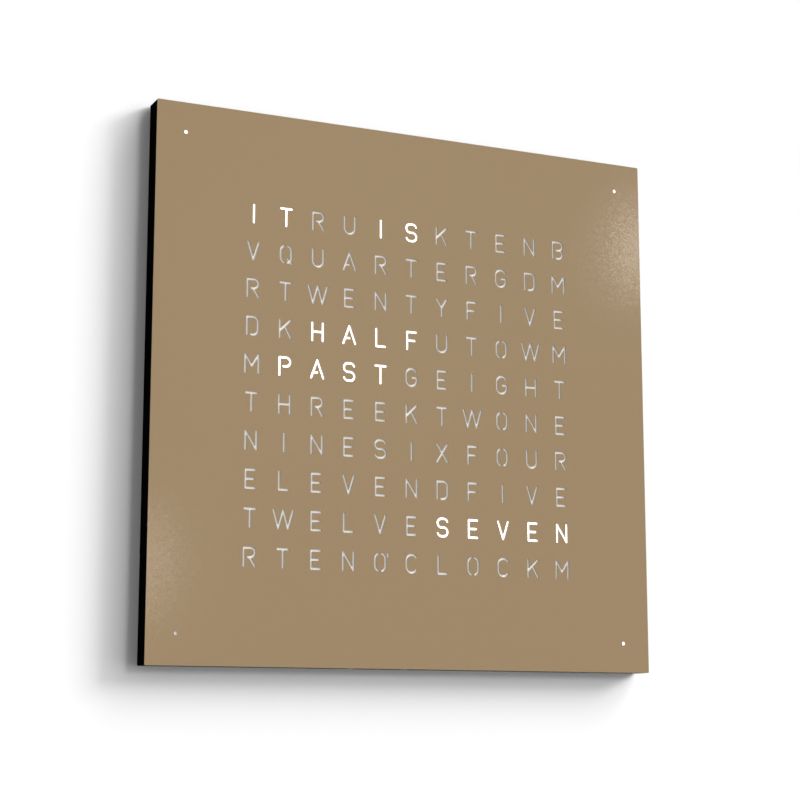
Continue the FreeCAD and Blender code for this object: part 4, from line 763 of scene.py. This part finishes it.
def button_grid(low, high):
    """A profile (radius, height) turned about the box's upright axis.

    The face is a parabola, dish * (1 - (r / flat)^2), and the rim is a quarter of a circle.
    """
    flat = CAP_RADIUS - CAP_RIM
    radius = np.linspace(0, flat, FACE_POINTS)
    face = np.stack([radius, CAP_DISH * (1 - (radius / flat) ** 2)], axis=1)
    round_off = np.linspace(0, np.pi / 2, RIM_POINTS)[1:]
    rim = np.stack([flat + CAP_RIM * np.sin(round_off), CAP_RIM * (1 - np.cos(round_off))], axis=1)
    bottom, top = FLANGE_SPAN
    end = (high.z - low.z) / MM
    back = [(CAP_RADIUS, bottom), (FLANGE_RADIUS, bottom), (FLANGE_RADIUS, top), (STEM_RADIUS, top),
            (STEM_RADIUS, end), (0, end)]
    profile = np.concatenate([face, rim, back])
    radius, height = profile[:, :1], profile[:, 1:]
    turn = full_turn(CAP_COLUMNS)
    middle = (low + high) / 2 / MM
    return np.stack([middle.x + radius * np.cos(turn), middle.y + radius * np.sin(turn),
                     low.z / MM + height + 0 * turn], axis=-1)


button_satin = textured("button_satin", BUTTON_BLACK, grain=0.35, relief=0.006, roughness=0.38,
                        specular_ior_level=0.35)[0]
for name in ("mode", "hour", "minute"):
    surface_piece(f"{name}_cap", button_grid(*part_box(f"{name}_button")), button_satin, f"{name}_button",
                  f"{name}_key")

clear_acrylic = textured("clear_acrylic", CLEAR_ACRYLIC, grain=2.0, relief=0.001, roughness=0.03,
                         ior=1.49, transmission_weight=1.0)[0]
put_on(clear_acrylic, "sensor_light_pipe")


# ---------------------------------------------------------------- sockets, cable and leads
# Sockets moulded in ivory nylon, satin and a little waxy, with gilt contacts. A flat cable of ten wires,
# 1.2 mm apart, joins them, and its first wire is red. The antenna's clips are of the same nylon, and the
# other leads have a red sleeve.

IVORY = ("#DCD8CB", "#E5E1D5")
GILT = "#A9853D"
CONTACT_PITCH = (1.2, 1.6)
CONTACT_HALF = 0.3
CONTACT_EDGE = 0.03
# Half of the stretch that holds contacts, about the middle between the two sockets
CONTACTS_HALF = (6, 11.2)

ivory_nylon = textured("ivory_nylon", IVORY, grain=0.8, relief=0.006, roughness=0.42)[0]
put_on(ivory_nylon, "antenna_clips")

socket_nylon, tree, spot, surface = textured("socket_nylon", IVORY, grain=0.8, relief=0.006,
                                             roughness=0.42)
upper = extent("led_board_socket")[0].xz
lower = extent("control_board_socket")[0].xz
contact = patch(tree, repeated(tree, spot, CONTACT_PITCH, upper), (0, 0), (CONTACT_HALF, CONTACT_HALF),
                CONTACT_EDGE)
contacts = patch(tree, spot, (upper + lower) / 2, CONTACTS_HALF, BASE_EDGE)
contact = add(tree, "Math", {0: contact, 1: contacts}, operation="MULTIPLY")
over(tree, surface, contact, base_color=linear(GILT), metallic=1.0, roughness=0.3)
put_on(socket_nylon, "led_board_socket", "control_board_socket")

CABLE_GREY = ("#83868A", "#8D9094")
WIRE_RED = "#9E2B22"
SLEEVE_RED = ("#8E1712", "#9C1D16")
CABLE_PLACE = extent("ribbon_cable")[0].x
CABLE_THICK = 0.9
WIRE_COUNT = 10
WIRE_PITCH = 1.2
# Points across one wire, and the soft edge of the red one
WIRE_POINTS = 12
WIRE_EDGE = 0.05
# What of a wire's thickness the web between two wires keeps
WEB_SHARE = 0.35
# The part of its length in which the cable steps from one socket's level to the other's, and the points
# along the whole length
STEP_SPAN = (0.3, 0.7)
LENGTH_POINTS = 31


def cable_grid(low, high):
    """A ridged section carried down a line that steps from one level to the other.

    The section's half thickness is that of round wires side by side, sqrt(1 - (d / half pitch)^2) where d
    is the distance from the nearest wire's middle, and is never less than the web's. The line eases from
    level to level as 3 t^2 - 2 t^3.
    """
    low, high = np.array(low) / MM, np.array(high) / MM
    across = np.linspace(low[0], high[0], WIRE_COUNT * WIRE_POINTS + 1)
    off = (across - CABLE_PLACE) % WIRE_PITCH - WIRE_PITCH / 2
    half = np.sqrt(np.clip(1 - (2 * off / WIRE_PITCH) ** 2, WEB_SHARE ** 2, 1)) * CABLE_THICK / 2
    down = np.linspace(0, 1, LENGTH_POINTS)
    eased = np.clip((down - STEP_SPAN[0]) / (STEP_SPAN[1] - STEP_SPAN[0]), 0, 1)
    eased = 3 * eased ** 2 - 2 * eased ** 3
    upper, lower = high[1] - CABLE_THICK / 2, low[1] + CABLE_THICK / 2
    level = upper + (lower - upper) * eased
    # The first and last rows close the ends on the section's middle line
    level = np.concatenate([level[:1], level, level[-1:]])[:, None]
    height = np.concatenate([[high[2]], high[2] + (low[2] - high[2]) * down, [low[2]]])[:, None]
    full = np.ones_like(level)
    full[0] = full[-1] = 0
    outline = np.concatenate([across, across[::-1]])[None, :]
    web = WEB_SHARE * CABLE_THICK / 2
    outline = np.where(full > 0, outline, np.clip(outline, low[0] + web, high[0] - web))
    thick = np.concatenate([half, -half[::-1]])[None, :]
    return np.stack([outline, level + full * thick, height + 0 * outline], axis=-1)


flat_cable, tree, spot, surface = textured("flat_cable", CABLE_GREY, grain=0.8, relief=0.004,
                                           roughness=0.45)
first_wire = CABLE_PLACE - (WIRE_COUNT - 1) / 2 * WIRE_PITCH
red_wire = patch(tree, spot, (first_wire, 0), (WIRE_PITCH / 2, ENDLESS), WIRE_EDGE)
over(tree, surface, red_wire, base_color=linear(WIRE_RED))
surface_piece("flat_cable", cable_grid(*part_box("ribbon_cable")), flat_cable, "ribbon_cable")

red_sleeve = textured("red_lead", SLEEVE_RED, grain=1.5, relief=0.01, roughness=0.4, ior=1.45)[0]
put_on(red_sleeve, "minute_leads", "antenna_lead")


# ---------------------------------------------------------------- time signal antenna
# A rod of fired ferrite, dark grey and matt like unglazed stoneware, with one layer of enamelled copper
# wire wound round its middle, glossy and reddish.

FERRITE = ("#2A2727", "#383434")
COPPER = ("#9A4B26", "#AC5A30")
# The wire is 0.2 mm; the winding is made 0.5 mm a turn, with valleys 0.12 mm deep
TURN_PITCH = 0.5
TURN_RELIEF = 0.12
COIL_BORE = 4.05
# Points along one turn's width and round the coil
TURN_POINTS = 6
COIL_COLUMNS = 48


def coil_grid(low, high):
    """A wound sleeve about the rod's axis, along X.

    Its outer radius is R - relief / 2 * (1 - cos(2 pi x / pitch - angle)), so that the turns climb as a
    helix. The rows go along the outside, through the bore, and back to the first.
    """
    low, high = np.array(low) / MM, np.array(high) / MM
    turn = full_turn(COIL_COLUMNS)
    outer = (high[2] - low[2]) / 2
    steps = round((high[0] - low[0]) / TURN_PITCH) * TURN_POINTS
    along_rod = np.linspace(low[0], high[0], steps + 1)[:, None]
    phase = 2 * np.pi * along_rod / TURN_PITCH - turn
    radius = outer - TURN_RELIEF / 2 * (1 - np.cos(phase))
    bore = np.full_like(turn, COIL_BORE)
    radius = np.concatenate([radius, bore, bore, radius[:1]])
    along_rod = np.concatenate([along_rod, [[high[0]], [low[0]], [low[0]]]])
    middle = (low + high) / 2
    return np.stack([along_rod + 0 * turn, middle[1] + radius * np.cos(turn),
                     middle[2] + radius * np.sin(turn)], axis=-1)


ferrite = textured("fired_ferrite", FERRITE, grain=0.7, relief=0.03, roughness=0.62)[0]
put_on(ferrite, "antenna_rod")
winding = textured("copper_winding", COPPER, grain=2.5, relief=0.01, metallic=1.0, roughness=0.3,
                   coat_weight=0.6, coat_roughness=0.15)[0]
surface_piece("copper_winding", coil_grid(*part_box("antenna_coil")), winding, "antenna_coil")


# ---------------------------------------------------------------- rear cover and hanger plates
# A steel sheet with a fine black powder coat closes the case, and two zinc-plated steel plates with a
# keyhole each hang it. Rolled sheet keeps faint lines along its length, brighter and duller by turns.

REAR_BLACK = ("#161617", "#202022")
ROLLED_ZINC = ("#A2A7AD", "#BCC0C5")
# The lines: their width, how many times as long they are, and the noise and roughness that they span
LINE_WIDTH = 0.5
LINE_STRETCH = 25
LINE_SPAN = (0.35, 0.65)
LINE_ROUGHNESS = (0.28, 0.44)

rear_coat = textured("black_powder_coat", REAR_BLACK, grain=1.6, relief=0.08, roughness=0.42,
                     specular_ior_level=0.35)[0]
put_on(rear_coat, "rear_cover")

rolled_zinc, tree, spot, surface = textured("rolled_zinc", ROLLED_ZINC, grain=1.6, relief=0.008,
                                            metallic=1.0)
lines = add(tree, "Mapping", {"Vector": spot, "Scale": (1 / LINE_STRETCH, 1, 1)})
lines = add(tree, "TexNoise", {"Vector": lines, "Scale": per_metre(LINE_WIDTH), "Detail": 1.0})
streaks = add(tree, "MapRange", {"Value": lines, "From Min": LINE_SPAN[0], "From Max": LINE_SPAN[1],
                                 "To Min": LINE_ROUGHNESS[0], "To Max": LINE_ROUGHNESS[1]})
tree.links.new(streaks.outputs[0], surface.inputs["Roughness"])
put_on(rolled_zinc, "hanger_plates")
